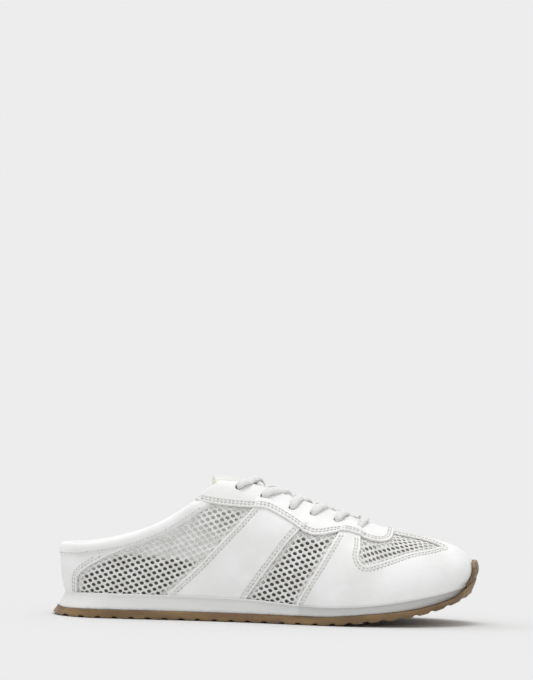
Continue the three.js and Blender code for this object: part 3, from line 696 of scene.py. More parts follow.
@dataclass
class Panel:
    """A flat piece of leather or cloth cut to an outline and laid on the form."""

    name: str
    level: Array
    thick: Array | float
    base: Array | float = 0.2
    edge: float = 0.7
    skirt: float = 0.8
    seam: Array | None = None

    def build(self, surface: Surface, extra: dict[str, Array] | None = None) -> Object:
        """Make the panel's closed mesh.

        Args:
            surface: The form it lies on.
            extra: Values to keep on its face, one array a name; they are 0 on its underside.

        Returns:
            The panel, with the distance to its drawn edges kept as the attribute "edge".
        """
        distance = surface.rim_distance(self.level)
        seam = distance if self.seam is None else self.seam
        base = np.broadcast_to(np.asarray(self.base, float), surface.t.shape)
        thick = np.broadcast_to(np.asarray(self.thick, float), surface.t.shape)
        carried = {"edge": seam, "base": base, "thick": thick, **(extra or {})}
        faces, values = surface.clip(distance - self.edge, carried)
        at, out = surface.place(values["t"], values["v"])
        count = len(at)
        foot = np.isclose(np.abs(values["v"]), 1.0)
        low = values["base"][:, None]
        top = at + out * (low + values["thick"][:, None])
        under = at + out * low
        top[foot, 2] -= self.skirt
        under[foot, 2] -= self.skirt
        rim = boundary(faces)
        ring = np.unique(rim)
        lookup = np.full(count, -1)
        lookup[ring] = np.arange(len(ring))
        away = self._away(at, out, rim, ring)
        cut = ~foot[ring]
        rows = []
        for share, drop in CUT_EDGE:
            shift = np.where(cut, self.edge * share, 0.0)[:, None]
            height = (values["base"][ring] + values["thick"][ring] * (1.0 - drop))[:, None]
            row = at[ring] + away * shift + out[ring] * height
            row[~cut, 2] -= self.skirt
            rows.append(row)
        points = np.vstack([top, under, *rows])
        walls = []
        a, b = lookup[rim[:, 0]], lookup[rim[:, 1]]
        upper = [rim[:, 0], *(2 * count + k * len(ring) + a for k in range(len(rows))), rim[:, 0] + count]
        lower = [rim[:, 1], *(2 * count + k * len(ring) + b for k in range(len(rows))), rim[:, 1] + count]
        for k in range(len(upper) - 1):
            walls.append(np.stack([lower[k], upper[k], upper[k + 1], lower[k + 1]], 1))
        all_faces = [*faces.tolist(), *(faces[:, ::-1] + count).tolist(), *np.vstack(walls).tolist()]
        kept = {"edge": np.concatenate([values["edge"], values["edge"],
                                        *[values["edge"][ring] - self.edge * share
                                          for share, _ in CUT_EDGE]])}
        for name in extra or {}:
            kept[name] = np.concatenate([values[name], 0.0 * values[name], *[values[name][ring]] * len(rows)])
        return make_mesh(self.name, points, all_faces, kept)

    def _away(self, at: Array, out: Array, rim: Array, ring: Array) -> Array:
        """Directions that lead out of the panel along the form.

        Args:
            at: The panel's points.
            out: The directions square to the form there.
            rim: The panel's outer edges.
            ring: The points on those edges.

        Returns:
            A direction for each point of the ring.
        """
        total = np.zeros_like(at)
        tangent = unit(at[rim[:, 1]] - at[rim[:, 0]])
        side = np.cross(tangent, out[rim[:, 0]])
        np.add.at(total, rim[:, 0], side)
        np.add.at(total, rim[:, 1], side)
        spread = total.copy()
        np.add.at(spread, rim[:, 0], unit(total[rim[:, 1]]))
        np.add.at(spread, rim[:, 1], unit(total[rim[:, 0]]))
        return unit(spread[ring])


# Distance between the points of a seam
SEAM_STEP = 1.2


@dataclass(frozen=True)
class Seam:
    """A line on the upper's face, with the direction square to the face at each point."""

    at: Array
    out: Array


def seams(surface: Surface, distance: Array, inset: float, height: Array | float,
          keep: Callable[[Array], Array] | None = None, shortest: float = 8.0) -> list[Seam]:
    """Lines that run at a distance inside a panel's edge.

    Args:
        surface: The form.
        distance: Distance from the panel's edge, one value a grid point.
        inset: How far inside the edge the line runs.
        height: Height of the panel's face over the form.
        keep: Says which points the line may have.
        shortest: Shorter lines are dropped.

    Returns:
        The lines.
    """
    tall = np.broadcast_to(np.asarray(height, float), surface.t.shape)
    faces, values = surface.clip(distance - inset, {"tall": tall})
    rim = boundary(faces)
    rim = rim[(values["level"][rim[:, 0]] == 0) & (values["level"][rim[:, 1]] == 0)]
    at, out = surface.place(values["t"], values["v"])
    at = at + out * values["tall"][:, None]
    if keep is not None:
        ok = keep(at)
        rim = rim[ok[rim[:, 0]] & ok[rim[:, 1]]]
    found = []
    for chain in chains(rim):
        points = at[chain]
        run = np.linalg.norm(np.diff(points, axis=0), axis=1).sum()
        if run < shortest:
            continue
        both = spaced(np.hstack([points, out[chain]]), max(int(run / SEAM_STEP), 4))
        line = both[:, :3]
        for _ in range(3):
            line[1:-1] = (line[:-2] + 2 * line[1:-1] + line[2:]) / 4
        found.append(Seam(line, unit(both[:, 3:])))
    return found


def add(tree: Tree, kind: str, links: dict | None = None, **settings: object) -> bpy.types.Node:
    """Add a node with its settings and links.

    Args:
        tree: Where it goes.
        kind: The node's type.
        links: For each input, by name or number, a value or an output to link from.
        settings: Properties of the node.

    Returns:
        The node.
    """
    node = tree.nodes.new(kind)
    for key, value in settings.items():
        setattr(node, key, value)
    for key, value in (links or {}).items():
        socket = node.inputs[key]
        if isinstance(value, Socket):
            tree.links.new(value, socket)
        else:
            socket.default_value = value
    return node


def colour(hex_code: str) -> tuple[float, float, float, float]:
    """An sRGB hex colour as linear RGBA."""
    parts = [int(hex_code[i:i + 2], 16) / 255 for i in (1, 3, 5)]
    linear = [p / 12.92 if p <= 0.04045 else ((p + 0.055) / 1.055) ** 2.4 for p in parts]
    return (*linear, 1.0)


class Finish:
    """A procedural material, with the helpers that every finish uses."""

    def __init__(self, name: str, roughness: float, ior: float = 1.5, **constants: object) -> None:
        """Start a material.

        Args:
            name: The real material's name.
            roughness: Its typical roughness.
            ior: Its index of refraction.
            constants: Other sockets of the shader, by name with _ for a space.
        """
        self.material = bpy.data.materials.new(name)
        self.material.use_nodes = True
        self.tree = self.material.node_tree
        self.shader = self.tree.nodes["Principled BSDF"]
        self.shader.inputs["Roughness"].default_value = roughness
        self.shader.inputs["IOR"].default_value = ior
        for key, value in constants.items():
            self.shader.inputs[key.replace("_", " ")].default_value = value
        self.place = add(self.tree, "ShaderNodeTexCoord").outputs["Object"]

    def noise(self, size: float, detail: float = 3.0, stretch: tuple[float, float, float] = (1, 1, 1)
              ) -> Socket:
        """Noise whose features are about so many millimetres across."""
        at = add(self.tree, "ShaderNodeMapping", {"Vector": self.place, "Scale": stretch}).outputs[0]
        links = {"Vector": at, "Scale": 1.0 / (size * MM), "Detail": detail}
        return add(self.tree, "ShaderNodeTexNoise", links).outputs["Fac"]

    def cells(self, size: float, feature: str = "F1") -> Socket:
        """Distance to the nearest of cells about so many millimetres across."""
        links = {"Vector": self.place, "Scale": 1.0 / (size * MM)}
        return add(self.tree, "ShaderNodeTexVoronoi", links, feature=feature).outputs["Distance"]

    def value(self, name: str) -> Socket:
        """A value kept on the mesh's points."""
        return add(self.tree, "ShaderNodeAttribute", attribute_name=name).outputs["Fac"]

    def math(self, operation: str, *values: object) -> Socket:
        """One operation of arithmetic on values or sockets."""
        return add(self.tree, "ShaderNodeMath", dict(enumerate(values)), operation=operation).outputs[0]

    def step(self, value: Socket, low: float, high: float,
             to: tuple[float, float] = (0.0, 1.0)) -> Socket:
        """A smooth step of a value between two heights."""
        links = {"Value": value, "From Min": low, "From Max": high, "To Min": to[0], "To Max": to[1]}
        return add(self.tree, "ShaderNodeMapRange", links, interpolation_type="SMOOTHSTEP").outputs[0]

    def mix(self, share: object, first: object, second: object) -> Socket:
        """A colour between two, each a hex code or a socket."""
        node = add(self.tree, "ShaderNodeMix", data_type="RGBA")
        for index, value in ((0, share), (6, first), (7, second)):
            if isinstance(value, Socket):
                self.tree.links.new(value, node.inputs[index])
            else:
                node.inputs[index].default_value = colour(value) if isinstance(value, str) else value
        return node.outputs[2]

    def bump(self, height: Socket, depth: float, onto: Socket | None = None
             ) -> Socket:
        """A bump whose full height is so many millimetres, over another if one is given."""
        links = {"Height": height, "Distance": depth * MM, "Strength": 1.0}
        if onto is not None:
            links["Normal"] = onto
        return add(self.tree, "ShaderNodeBump", links).outputs[0]

    def finish(self, base: Socket | None, normal: Socket,
               rough: Socket | None = None) -> Material:
        """Link what isn't a constant to the shader and give back the material."""
        if base is not None:
            self.tree.links.new(base, self.shader.inputs["Base Color"])
        self.tree.links.new(normal, self.shader.inputs["Normal"])
        if rough is not None:
            self.tree.links.new(rough, self.shader.inputs["Roughness"])
        return self.material


@dataclass(frozen=True)
class CorrectedGrainLeather:
    """White corrected-grain leather: an even, faintly glossy face with a fine pebble and soft creases."""

    name: str = "white_corrected_grain_leather"
    face: str = "#efefef"
    low: str = "#e7e7e6"
    edge_grey: str = "#cfccc5"
    pebble: float = 1.1
    rows: tuple[float, ...] = STITCH_ROWS
    groove: float = 0.75

    def make(self) -> Material:
        """Build the material."""
        look = Finish(self.name, 0.42, 1.48, Coat_Weight=0.12, Coat_Roughness=0.35)
        edge = look.value("edge")
        tone = look.mix(look.step(look.noise(24.0, 4.0), 0.35, 0.65), self.face, self.low)
        near_edge = look.step(edge, 1.1, 0.0)
        patches = look.step(look.noise(3.0, 4.0), 0.4, 0.7, (0.15, 0.8))
        # Greyer in patches within about a millimetre of each cut edge
        tone = look.mix(look.math("MULTIPLY", near_edge, patches), tone, self.edge_grey)
        groove = None
        for row in self.rows:
            away = look.math("ABSOLUTE", look.math("SUBTRACT", edge, row))
            dip = look.step(away, 0.0, self.groove)
            groove = dip if groove is None else look.math("MULTIPLY", groove, dip)
        grain = look.bump(look.cells(self.pebble, "SMOOTH_F1"), 0.05)
        wrinkle = look.bump(look.noise(5.0, 5.0, (1.0, 1.6, 0.7)), 0.16, grain)
        normal = wrinkle if groove is None else look.bump(groove, 0.24, wrinkle)
        rough = look.step(look.noise(9.0, 3.0), 0.3, 0.7, (0.36, 0.5))
        return look.finish(tone, normal, rough)


@dataclass(frozen=True)
class SpacerKnit:
    """White polyester spacer knit: matt round strands with a fine twist and a soft sheen."""

    name: str = "white_polyester_spacer_knit"
    face: str = "#ededeb"
    low: str = "#dddcd9"
    yarn: float = 0.55

    def make(self) -> Material:
        """Build the material."""
        look = Finish(self.name, 0.82, 1.53, Sheen_Weight=0.2, Sheen_Roughness=0.4)
        tone = look.mix(look.step(look.noise(6.0, 4.0), 0.35, 0.65), self.face, self.low)
        links = {"Vector": look.place, "Scale": 0.5 / (self.yarn * MM), "Distortion": 2.0, "Detail": 2.0}
        twist = add(look.tree, "ShaderNodeTexWave", links, bands_direction="DIAGONAL").outputs["Fac"]
        return look.finish(tone, look.bump(look.noise(0.5, 3.0), 0.08, look.bump(twist, 0.1)))


@dataclass(frozen=True)
class BrushedLining:
    """Brushed polyester lining: a soft felted white, with painted shade in dark grey where the open knit
    shows the inside of the shoe.
    """

    name: str = "brushed_polyester_lining"
    pale: str = "#efefee"
    dark: str = "#63625e"
    mid: str = "#7f7d70"

    def make(self) -> Material:
        """Build the material."""
        look = Finish(self.name, 0.9, 1.5, Sheen_Weight=0.25, Sheen_Roughness=0.5)
        # Painted shade: the inside of the shoe seen through the knit, dark grey low down and lifted to an
        # olive grey higher up, laid over the white where the attribute shade is high
        inside_shadow = look.mix(look.step(look.noise(14.0, 2.0), 0.4, 0.7), self.dark, self.mid)
        inside_shadow = look.mix(look.value("veil"), self.dark, inside_shadow)
        tone = look.mix(look.value("shade"), self.pale, inside_shadow)
        fibre = look.bump(look.noise(0.7, 5.0), 0.12)
        return look.finish(tone, look.bump(look.noise(4.0, 3.0), 0.2, fibre))


@dataclass(frozen=True)
class MouldedFoam:
    """Compression moulded EVA: a matt skin with a fine orange peel and grime along its lower edge, with
    painted shade greying it towards the toe.
    """

    name: str = "moulded_eva_foam"
    face: str = "#e5e5e4"
    low: str = "#dadad9"
    grey: str = "#bababa"
    grime: str = "#b3aea4"
    # Where the painted shade greys the foam, from the heel on towards the toe
    toe_shade_span: tuple[float, float] = (-30.0, 200.0)
    # Where the foam steps to a greyer tone, and how wide the step is
    tone_step_at: float = 120.3
    tone_step_width: float = 0.6

    def make(self) -> Material:
        """Build the material."""
        look = Finish(self.name, 0.6, 1.49, Coat_Weight=0.05, Coat_Roughness=0.5)
        tone = look.mix(look.step(look.noise(30.0, 3.0, (0.3, 1, 2)), 0.35, 0.7), self.face, self.low)
        forward = add(look.tree, "ShaderNodeSeparateXYZ", {0: look.place}).outputs["X"]
        # Painted shade: the foam turns greyer from the heel towards the toe
        rear, front = (x * MM for x in self.toe_shade_span)
        tone = look.mix(look.step(forward, rear, front, (0.05, 0.4)), tone, self.grey)
        # A sharp step to a greyer tone at about x = 120 mm
        past_tone_step = look.step(forward, self.tone_step_at * MM, (self.tone_step_at + self.tone_step_width) * MM, (0.0, 0.5))
        tone = look.mix(past_tone_step, tone, self.grey)
        low = look.step(look.value("edge"), 2.2, 0.0)
        patch = look.math("MULTIPLY", low, look.step(look.noise(5.0, 5.0), 0.42, 0.68, (0.1, 0.75)))
        tone = look.mix(patch, tone, self.grime)
        peel = look.bump(look.noise(0.9, 3.0), 0.05)
        normal = look.bump(look.noise(7.0, 3.0, (0.3, 1, 1)), 0.22, peel)
        return look.finish(tone, normal, look.step(look.noise(8.0), 0.3, 0.7, (0.52, 0.68)))


@dataclass(frozen=True)
class GumRubber:
    """Vulcanised gum rubber: a half matt brown with darker clouds and a dusty lower edge."""

    name: str = "vulcanised_gum_rubber"
    face: str = "#82663f"
    deep: str = "#694f31"
    dust: str = "#a3927a"

    def make(self) -> Material:
        """Build the material."""
        look = Finish(self.name, 0.5, 1.52, Coat_Weight=0.08, Coat_Roughness=0.4)
        cloud = look.step(look.noise(11.0, 4.0, (0.4, 1, 1.5)), 0.35, 0.68)
        tone = look.mix(cloud, self.face, self.deep)
        worn = look.math("MULTIPLY", look.step(look.value("edge"), 1.6, 0.0),
                         look.step(look.noise(1.6, 4.0), 0.4, 0.7, (0.1, 0.8)))
        tone = look.mix(worn, tone, self.dust)
        skin = look.bump(look.noise(0.6, 3.0), 0.05)
        normal = look.bump(look.noise(5.0, 3.0, (0.4, 1, 1)), 0.15, skin)
        return look.finish(tone, normal, look.step(look.noise(4.0), 0.3, 0.7, (0.42, 0.62)))


@dataclass(frozen=True)
class BraidedLace:
    """Oval braided polyester lace: matt, with a herringbone of fine bundles along its length."""

    name: str = "braided_polyester_lace"
    face: str = "#f2f2f0"
    low: str = "#d2d1ce"
    bundle: float = 0.9

    def make(self) -> Material:
        """Build the material."""
        look = Finish(self.name, 0.85, 1.53, Sheen_Weight=0.25, Sheen_Roughness=0.4)
        along, round_it = look.value("along"), look.value("round")
        quarter = look.math("FRACT", look.math("MULTIPLY", round_it, 4.0))
        fold = look.math("ABSOLUTE", look.math("SUBTRACT", quarter, 0.5))
        lead = look.math("ADD", look.math("DIVIDE", along, self.bundle), look.math("MULTIPLY", fold, 2.0))
        wave = look.math("ABSOLUTE", look.math("SINE", look.math("MULTIPLY", lead, math.pi)))
        # Painted shade: the braid is darker in the grooves between its bundles
        tone = look.mix(look.math("MULTIPLY", look.step(wave, 0.7, 0.0), 0.55), self.face, self.low)
        normal = look.bump(look.noise(0.35, 3.0), 0.05, look.bump(wave, 0.28))
        return look.finish(tone, normal)


@dataclass(frozen=True)
class BondedThread:
    """Bonded nylon thread: a faintly lustrous off-white, kept greyer than the leather as painted shade of the
    stitch holes, with a fine twist and greyer patches.
    """

    name: str = "bonded_nylon_thread"
    face: str = "#e2e0db"
    low: str = "#bdbab2"
    ply: float = 0.35

    def make(self) -> Material:
        """Build the material."""
        look = Finish(self.name, 0.6, 1.53, Sheen_Weight=0.1)
        tone = look.mix(look.step(look.noise(1.4, 3.0), 0.4, 0.65), self.face, self.low)
        links = {"Vector": look.place, "Scale": 0.5 / (self.ply * MM), "Distortion": 1.0}
        twist = add(look.tree, "ShaderNodeTexWave", links, bands_direction="DIAGONAL").outputs["Fac"]
        return look.finish(tone, look.bump(twist, 0.05))


@dataclass(frozen=True)
class SockFabric:
    """Woven polyester over foam: a pale grey sock bed with a small square weave."""

    name: str = "woven_sock_fabric"
    face: str = "#dad9d4"
    low: str = "#d0cec8"
    thread: float = 1.2

    def make(self) -> Material:
        """Build the material."""
        look = Finish(self.name, 0.9, 1.5, Sheen_Weight=0.2)
        scale = 0.5 / (self.thread * MM)
        waves = [add(look.tree, "ShaderNodeTexWave", {"Vector": look.place, "Scale": scale},
                     bands_direction=way).outputs["Fac"] for way in ("X", "Y")]
        weave = look.math("MAXIMUM", *waves)
        tone = look.mix(look.step(look.noise(18.0, 4.0), 0.35, 0.7), self.face, self.low)
        return look.finish(tone, look.bump(look.noise(10.0, 2.0), 0.5, look.bump(weave, 0.18)))


def tree_inputs(tree: Tree, sockets: dict[str, str]) -> bpy.types.Node:
    """Give a node group its geometry sockets and named inputs.

    Args:
        tree: The group.
        sockets: The type of each input by its name.

    Returns:
        The group's input node.
    """
    tree.interface.new_socket("Geometry", in_out="INPUT", socket_type="NodeSocketGeometry")
    for name, kind in sockets.items():
        tree.interface.new_socket(name, in_out="INPUT", socket_type=kind)
    tree.interface.new_socket("Geometry", in_out="OUTPUT", socket_type="NodeSocketGeometry")
    return tree.nodes.new("NodeGroupInput")


def grown(obj: Object, tree: Tree, values: dict[str, object]) -> Object:
    """Run a node group on an object and keep the result as its plain mesh.

    Args:
        obj: The object that carries the group's input.
        tree: The group.
        values: The value of each named input.

    Returns:
        The object, its modifier gone.
    """
    modifier = obj.modifiers.new(tree.name, "NODES")
    modifier.node_group = tree
    for item in tree.interface.items_tree:
        if item.item_type == "SOCKET" and item.in_out == "INPUT" and item.name in values:
            modifier[item.identifier] = values[item.name]
    bpy.context.view_layer.update()
    graph = bpy.context.evaluated_depsgraph_get()
    made = bpy.data.meshes.new_from_object(obj.evaluated_get(graph), depsgraph=graph)
    obj.modifiers.remove(modifier)
    old = obj.data
    obj.data = made
    bpy.data.meshes.remove(old)
    return obj


@dataclass
class Stitching:
    """Lockstitch rows: short tight stitches laid along the seams."""

    material: Material
    pitch: float = 2.5
    length: float = 1.95
    width: float = 0.8
    height: float = 0.62

    def tree(self) -> Tree:
        """The node group that lays a stitch at each step of a line."""
        group = bpy.data.node_groups.new("stitch_rows", "GeometryNodeTree")
        given = tree_inputs(group, {"Pitch": "NodeSocketFloat", "Size": "NodeSocketVector",
                                    "Thread": "NodeSocketMaterial"})
        line = add(group, "GeometryNodeMeshToCurve", {0: given.outputs["Geometry"]})
        steps = add(group, "GeometryNodeResampleCurve",
                    {"Curve": line.outputs[0], "Length": given.outputs["Pitch"]}, mode="LENGTH")
        ball = add(group, "GeometryNodeMeshUVSphere", {"Segments": 8, "Rings": 5, "Radius": 0.5})
        stitch = add(group, "GeometryNodeTransform",
                     {"Geometry": ball.outputs[0], "Scale": given.outputs["Size"]})
        soft = add(group, "GeometryNodeSetShadeSmooth", {0: stitch.outputs[0]})
        heading = add(group, "GeometryNodeInputTangent")
        out = add(group, "GeometryNodeInputNamedAttribute", {"Name": "out"}, data_type="FLOAT_VECTOR")
        first = add(group, "FunctionNodeAlignRotationToVector", {"Vector": heading.outputs[0]}, axis="X")
        turned = add(group, "FunctionNodeAlignRotationToVector",
                     {"Rotation": first.outputs[0], "Vector": out.outputs[0]}, axis="Z", pivot_axis="X")
        laid = add(group, "GeometryNodeInstanceOnPoints",
                   {"Points": steps.outputs[0], "Instance": soft.outputs[0], "Rotation": turned.outputs[0]})
        real = add(group, "GeometryNodeRealizeInstances", {0: laid.outputs[0]})
        dressed = add(group, "GeometryNodeSetMaterial",
                      {"Geometry": real.outputs[0], "Material": given.outputs["Thread"]})
        add(group, "NodeGroupOutput", {0: dressed.outputs[0]})
        return group

    def build(self, name: str, rows: Sequence[Seam]) -> Object:
        """Lay stitches along lines.

        Args:
            name: The piece's name.
            rows: The lines.

        Returns:
            All the stitches as one mesh.
        """
        points, outs, edges, start = [], [], [], 0
        for row in rows:
            count = len(row.at)
            points.append(row.at * MM)
            outs.append(row.out)
            edges += [(start + i, start + i + 1) for i in range(count - 1)]
            start += count
        mesh = bpy.data.meshes.new(name)
        mesh.from_pydata(np.vstack(points).tolist(), edges, [])
        layer = mesh.attributes.new("out", "FLOAT_VECTOR", "POINT")
        layer.data.foreach_set("vector", np.vstack(outs).astype(np.float32).ravel())
        obj = linked(name, mesh)
        size = (self.length * MM, self.width * MM, self.height * MM)
        return grown(obj, self.tree(), {"Pitch": self.pitch * MM, "Size": size, "Thread": self.material})


@dataclass
class OpenKnit:
    """Open hole knit: a slanted lattice of round strands round oval holes."""

    material: Material
    across: tuple[float, float] = (3.36, 1.36)
    up: tuple[float, float] = (0.97, 3.88)
    hole: tuple[float, float] = (1.28, 0.98)
    tilt: float = -14.0
    thick: float = 0.85
    strand: tuple[tuple[float, float], ...] = ((1.0, 1.0), (0.42, 0.93), (0.0, 0.5), (0.22, 0.08), (1.0, 0.0))

    def cell(self) -> Object:
        """One cell of the knit: a six-sided patch with an oval hole and rounded strands.

        Returns:
            The cell. Its strands follow the shares in strand: of the way from the hole to the cell's
            rim, and of the height.
        """
        a, b = np.array(self.across), np.array(self.up)
        near = [a, b, b - a, -a, -b, a - b]
        corners = []
        for p, q in zip(near, near[1:] + near[:1]):
            matrix = np.array([p, q])
            corners.append(np.linalg.solve(matrix, np.array([p @ p, q @ q]) / 2))
        sides = list(zip(corners, corners[1:] + corners[:1]))
        rim = np.array([c * (1 - u) + d * u for c, d in sides for u in (0, 0.5)])
        many = len(rim)
        angle = np.arctan2(rim[:, 1], rim[:, 0])
        turned = math.radians(self.tilt)
        oval = np.stack([self.hole[0] * np.cos(angle - turned), self.hole[1] * np.sin(angle - turned)], 1)
        spin = np.array([[math.cos(turned), -math.sin(turned)], [math.sin(turned), math.cos(turned)]])
        oval = oval @ spin.T
        rows = []
        for share, height in self.strand:
            rows.append(np.hstack([oval + (rim - oval) * share, np.full((many, 1), height * self.thick)]))
        points = np.vstack(rows)
        faces = ring_walls(len(rows), many)
        return make_mesh("knit_cell", points, faces, weld=1e-7)

    def tree(self) -> Tree:
        """The node group that joins cells on the lattice's points to one sheet."""
        group = bpy.data.node_groups.new("open_knit", "GeometryNodeTree")
        given = tree_inputs(group, {"Cell": "NodeSocketObject", "Weld": "NodeSocketFloat",
                                    "Yarn": "NodeSocketMaterial"})
        cell = add(group, "GeometryNodeObjectInfo", {"Object": given.outputs["Cell"]})
        laid = add(group, "GeometryNodeInstanceOnPoints",
                   {"Points": given.outputs["Geometry"], "Instance": cell.outputs["Geometry"]})
        real = add(group, "GeometryNodeRealizeInstances", {0: laid.outputs[0]})
        joined = add(group, "GeometryNodeMergeByDistance",
                     {"Geometry": real.outputs[0], "Distance": given.outputs["Weld"]})
        soft = add(group, "GeometryNodeSetShadeSmooth", {0: joined.outputs[0]})
        dressed = add(group, "GeometryNodeSetMaterial",
                      {"Geometry": soft.outputs[0], "Material": given.outputs["Yarn"]})
        add(group, "NodeGroupOutput", {0: dressed.outputs[0]})
        return group

    def lattice(self, low: tuple[float, float], high: tuple[float, float]) -> Array:
        """The lattice's points in a rectangle of the flat fabric, given by two corners."""
        shortest_step = 3.0
        reach = int(math.dist(low, high) / shortest_step) + 2
        i, j = np.meshgrid(np.arange(-reach, reach), np.arange(-reach, reach), indexing="ij")
        points = i.reshape(-1, 1) * np.array(self.across) + j.reshape(-1, 1) * np.array(self.up)
        points += (np.array(low) + np.array(high)) / 2
        ok = np.all((points >= low) & (points <= high), axis=1)
        return points[ok]

    def build(self, name: str, points: Array, onto: Callable[[Array, Array], Array], mirrored: bool
              ) -> Object:
        """Knit a sheet over chosen points of the lattice and lay it on the form.

        Args:
            name: The piece's name.
            points: The lattice points to use, in the flat fabric.
            onto: Takes flat points and heights in the fabric to points in space.
            mirrored: Whether the flat fabric is laid on the form as its mirror image.

        Returns:
            The sheet.
        """
        cell = self.cell()
        mesh = bpy.data.meshes.new(name)
        mesh.from_pydata([(x * MM, y * MM, 0.0) for x, y in points], [], [])
        obj = linked(name, mesh)
        grown(obj, self.tree(), {"Cell": cell, "Weld": 0.02 * MM, "Yarn": self.material})
        bpy.data.objects.remove(cell)
        self.close_edge(obj.data)
        flat = np.empty(len(obj.data.vertices) * 3, np.float32)
        obj.data.vertices.foreach_get("co", flat)
        flat = flat.reshape(-1, 3).astype(float) / MM
        placed = onto(flat[:, :2], flat[:, 2] - self.thick) * MM
        obj.data.vertices.foreach_set("co", placed.astype(np.float32).ravel())
        if mirrored:
            obj.data.flip_normals()
        obj.data.update()
        return obj

    def close_edge(self, mesh: bpy.types.Mesh) -> None:
        """Wall up the flat sheet's outer edge and turn its faces outwards.

        Args:
            mesh: The sheet, face up.
        """
        bm = bmesh.new()
        bm.from_mesh(mesh)
        level = self.thick * MM / 2
        near = 0.05 * MM

        def spot(vert: bmesh.types.BMVert) -> tuple[int, int]:
            """A point's place on the flat fabric, the same for points one above the other."""
            return round(vert.co.x / near), round(vert.co.y / near)

        rims = [e for e in bm.edges if e.is_boundary]
        below = {spot(v): v for e in rims for v in e.verts if v.co.z < level}
        for edge in rims:
            a, b = edge.verts
            if min(a.co.z, b.co.z) < level:
                continue
            c, d = below.get(spot(b)), below.get(spot(a))
            if c is not None and d is not None and c is not d:
                bm.faces.new((a, b, c, d))
        bmesh.ops.recalc_face_normals(bm, faces=bm.faces)
        for face in bm.faces:
            face.smooth = True
        bm.to_mesh(mesh)
        bm.free()


def ring_walls(many: int, count: int) -> list[tuple[int, ...]]:
    """The faces that join so many rings of so many points, each ring to the next."""
    onward = [(i + 1) % count for i in range(count)]
    return [(k * count + i, k * count + j, (k + 1) * count + j, (k + 1) * count + i)
            for k in range(many - 1) for i, j in enumerate(onward)]


def ride(piece: Object, material: Material, slot: str, *nodes: str) -> Object:
    """Dress a piece, tie it to the shoe and hide the CAD nodes it stands for.

    Args:
        piece: The piece.
        material: Its finish.
        slot: Not used.
        nodes: The CAD nodes.

    Returns:
        The piece.
    """
    piece.data.materials.clear()
    piece.data.materials.append(material)
    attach(piece, "root")
    if nodes:
        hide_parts(*nodes)
    log.info("%s: %d faces", piece.name, len(piece.data.polygons))
    return piece


def sole_loop(stations: int, blend: float, inset: float, toe_back: float,
              height: Callable[[Array], Array], heel_on: float = 0.0) -> Array:
    """One loop of the sole.

    Args:
        stations: Points on each side.
        blend: From the sole's edge (0) to the feather line (1).
        inset: How far the loop is moved in.
        toe_back: How far its tip lies behind the toe.
        height: Works out z from x.
        heel_on: How far its other end lies in front of the heel.

    Returns:
        The loop, out along the lateral side and back along the medial one.
    """
    turnings = 2 * np.pi * np.arange(2 * stations) / (2 * stations)
    along = (1 - np.cos(turnings)) / 2
    side = np.where(np.arange(2 * stations) <= stations, -1.0, 1.0)
    half = half_width(2, along) * (1 - blend) + half_width(3, along) * blend
    heel_at = blend * SIZE.heel_inset + heel_on
    toe_at = SIZE.length - (toe_back * (1 - blend) + SIZE.toe_inset * blend)
    x = heel_at + (toe_at - heel_at) * along - SIZE.heel_centre
    plan = np.stack([x, centre_line(along) + side * half], 1)
    step = np.roll(plan, -1, axis=0) - np.roll(plan, 1, axis=0)
    inward = unit(np.stack([-step[:, 1], step[:, 0]], 1))
    plan = plan + inward * inset
    return np.column_stack([plan, height(plan[:, 0])])


def stacked(name: str, loops: list[Array], across: int, values: Sequence[float] | None = None,
            under: Callable[[float, float], float] | None = None) -> Object:
    """A closed body from a stack of sole loops, capped by strips straight across.

    Args:
        name: The piece's name.
        loops: The loops, lowest first.
        across: Strips across each cap.
        values: The value "edge" of each loop.
        under: Works out z of the underside from x and the share across, if it isn't plain.

    Returns:
        The body.
    """
    count = len(loops[0])
    half = count // 2
    points = [p for loop in loops for p in loop]
    edge = [v for v in (values or [NO_EDGE] * len(loops)) for _ in range(count)]
    faces: list[Sequence[int]] = list(ring_walls(len(loops), count))
    for base, loop, bottom in ((0, loops[0], True), ((len(loops) - 1) * count, loops[-1], False)):
        rows = []
        for i in range(half + 1):
            j = (count - i) % count
            row = [base + i]
            for k in range(1, across):
                if i in (0, half):
                    row.append(base + i)
                    continue
                share = k / across
                p = loop[i] * (1 - share) + loop[j] * share
                if bottom and under is not None:
                    p[2] = under(p[0], share)
                row.append(len(points))
                points.append(p)
                edge.append(0.0 if bottom else NO_EDGE)
            row.append(base + j)
            rows.append(row)
        for r, n in zip(rows, rows[1:]):
            for k in range(across):
                quad = list(dict.fromkeys((r[k], r[k + 1], n[k + 1], n[k])))
                if len(quad) > 2:
                    faces.append(quad if bottom else quad[::-1])
    return make_mesh(name, np.array(points), faces, {"edge": np.array(edge)}, outward=True)


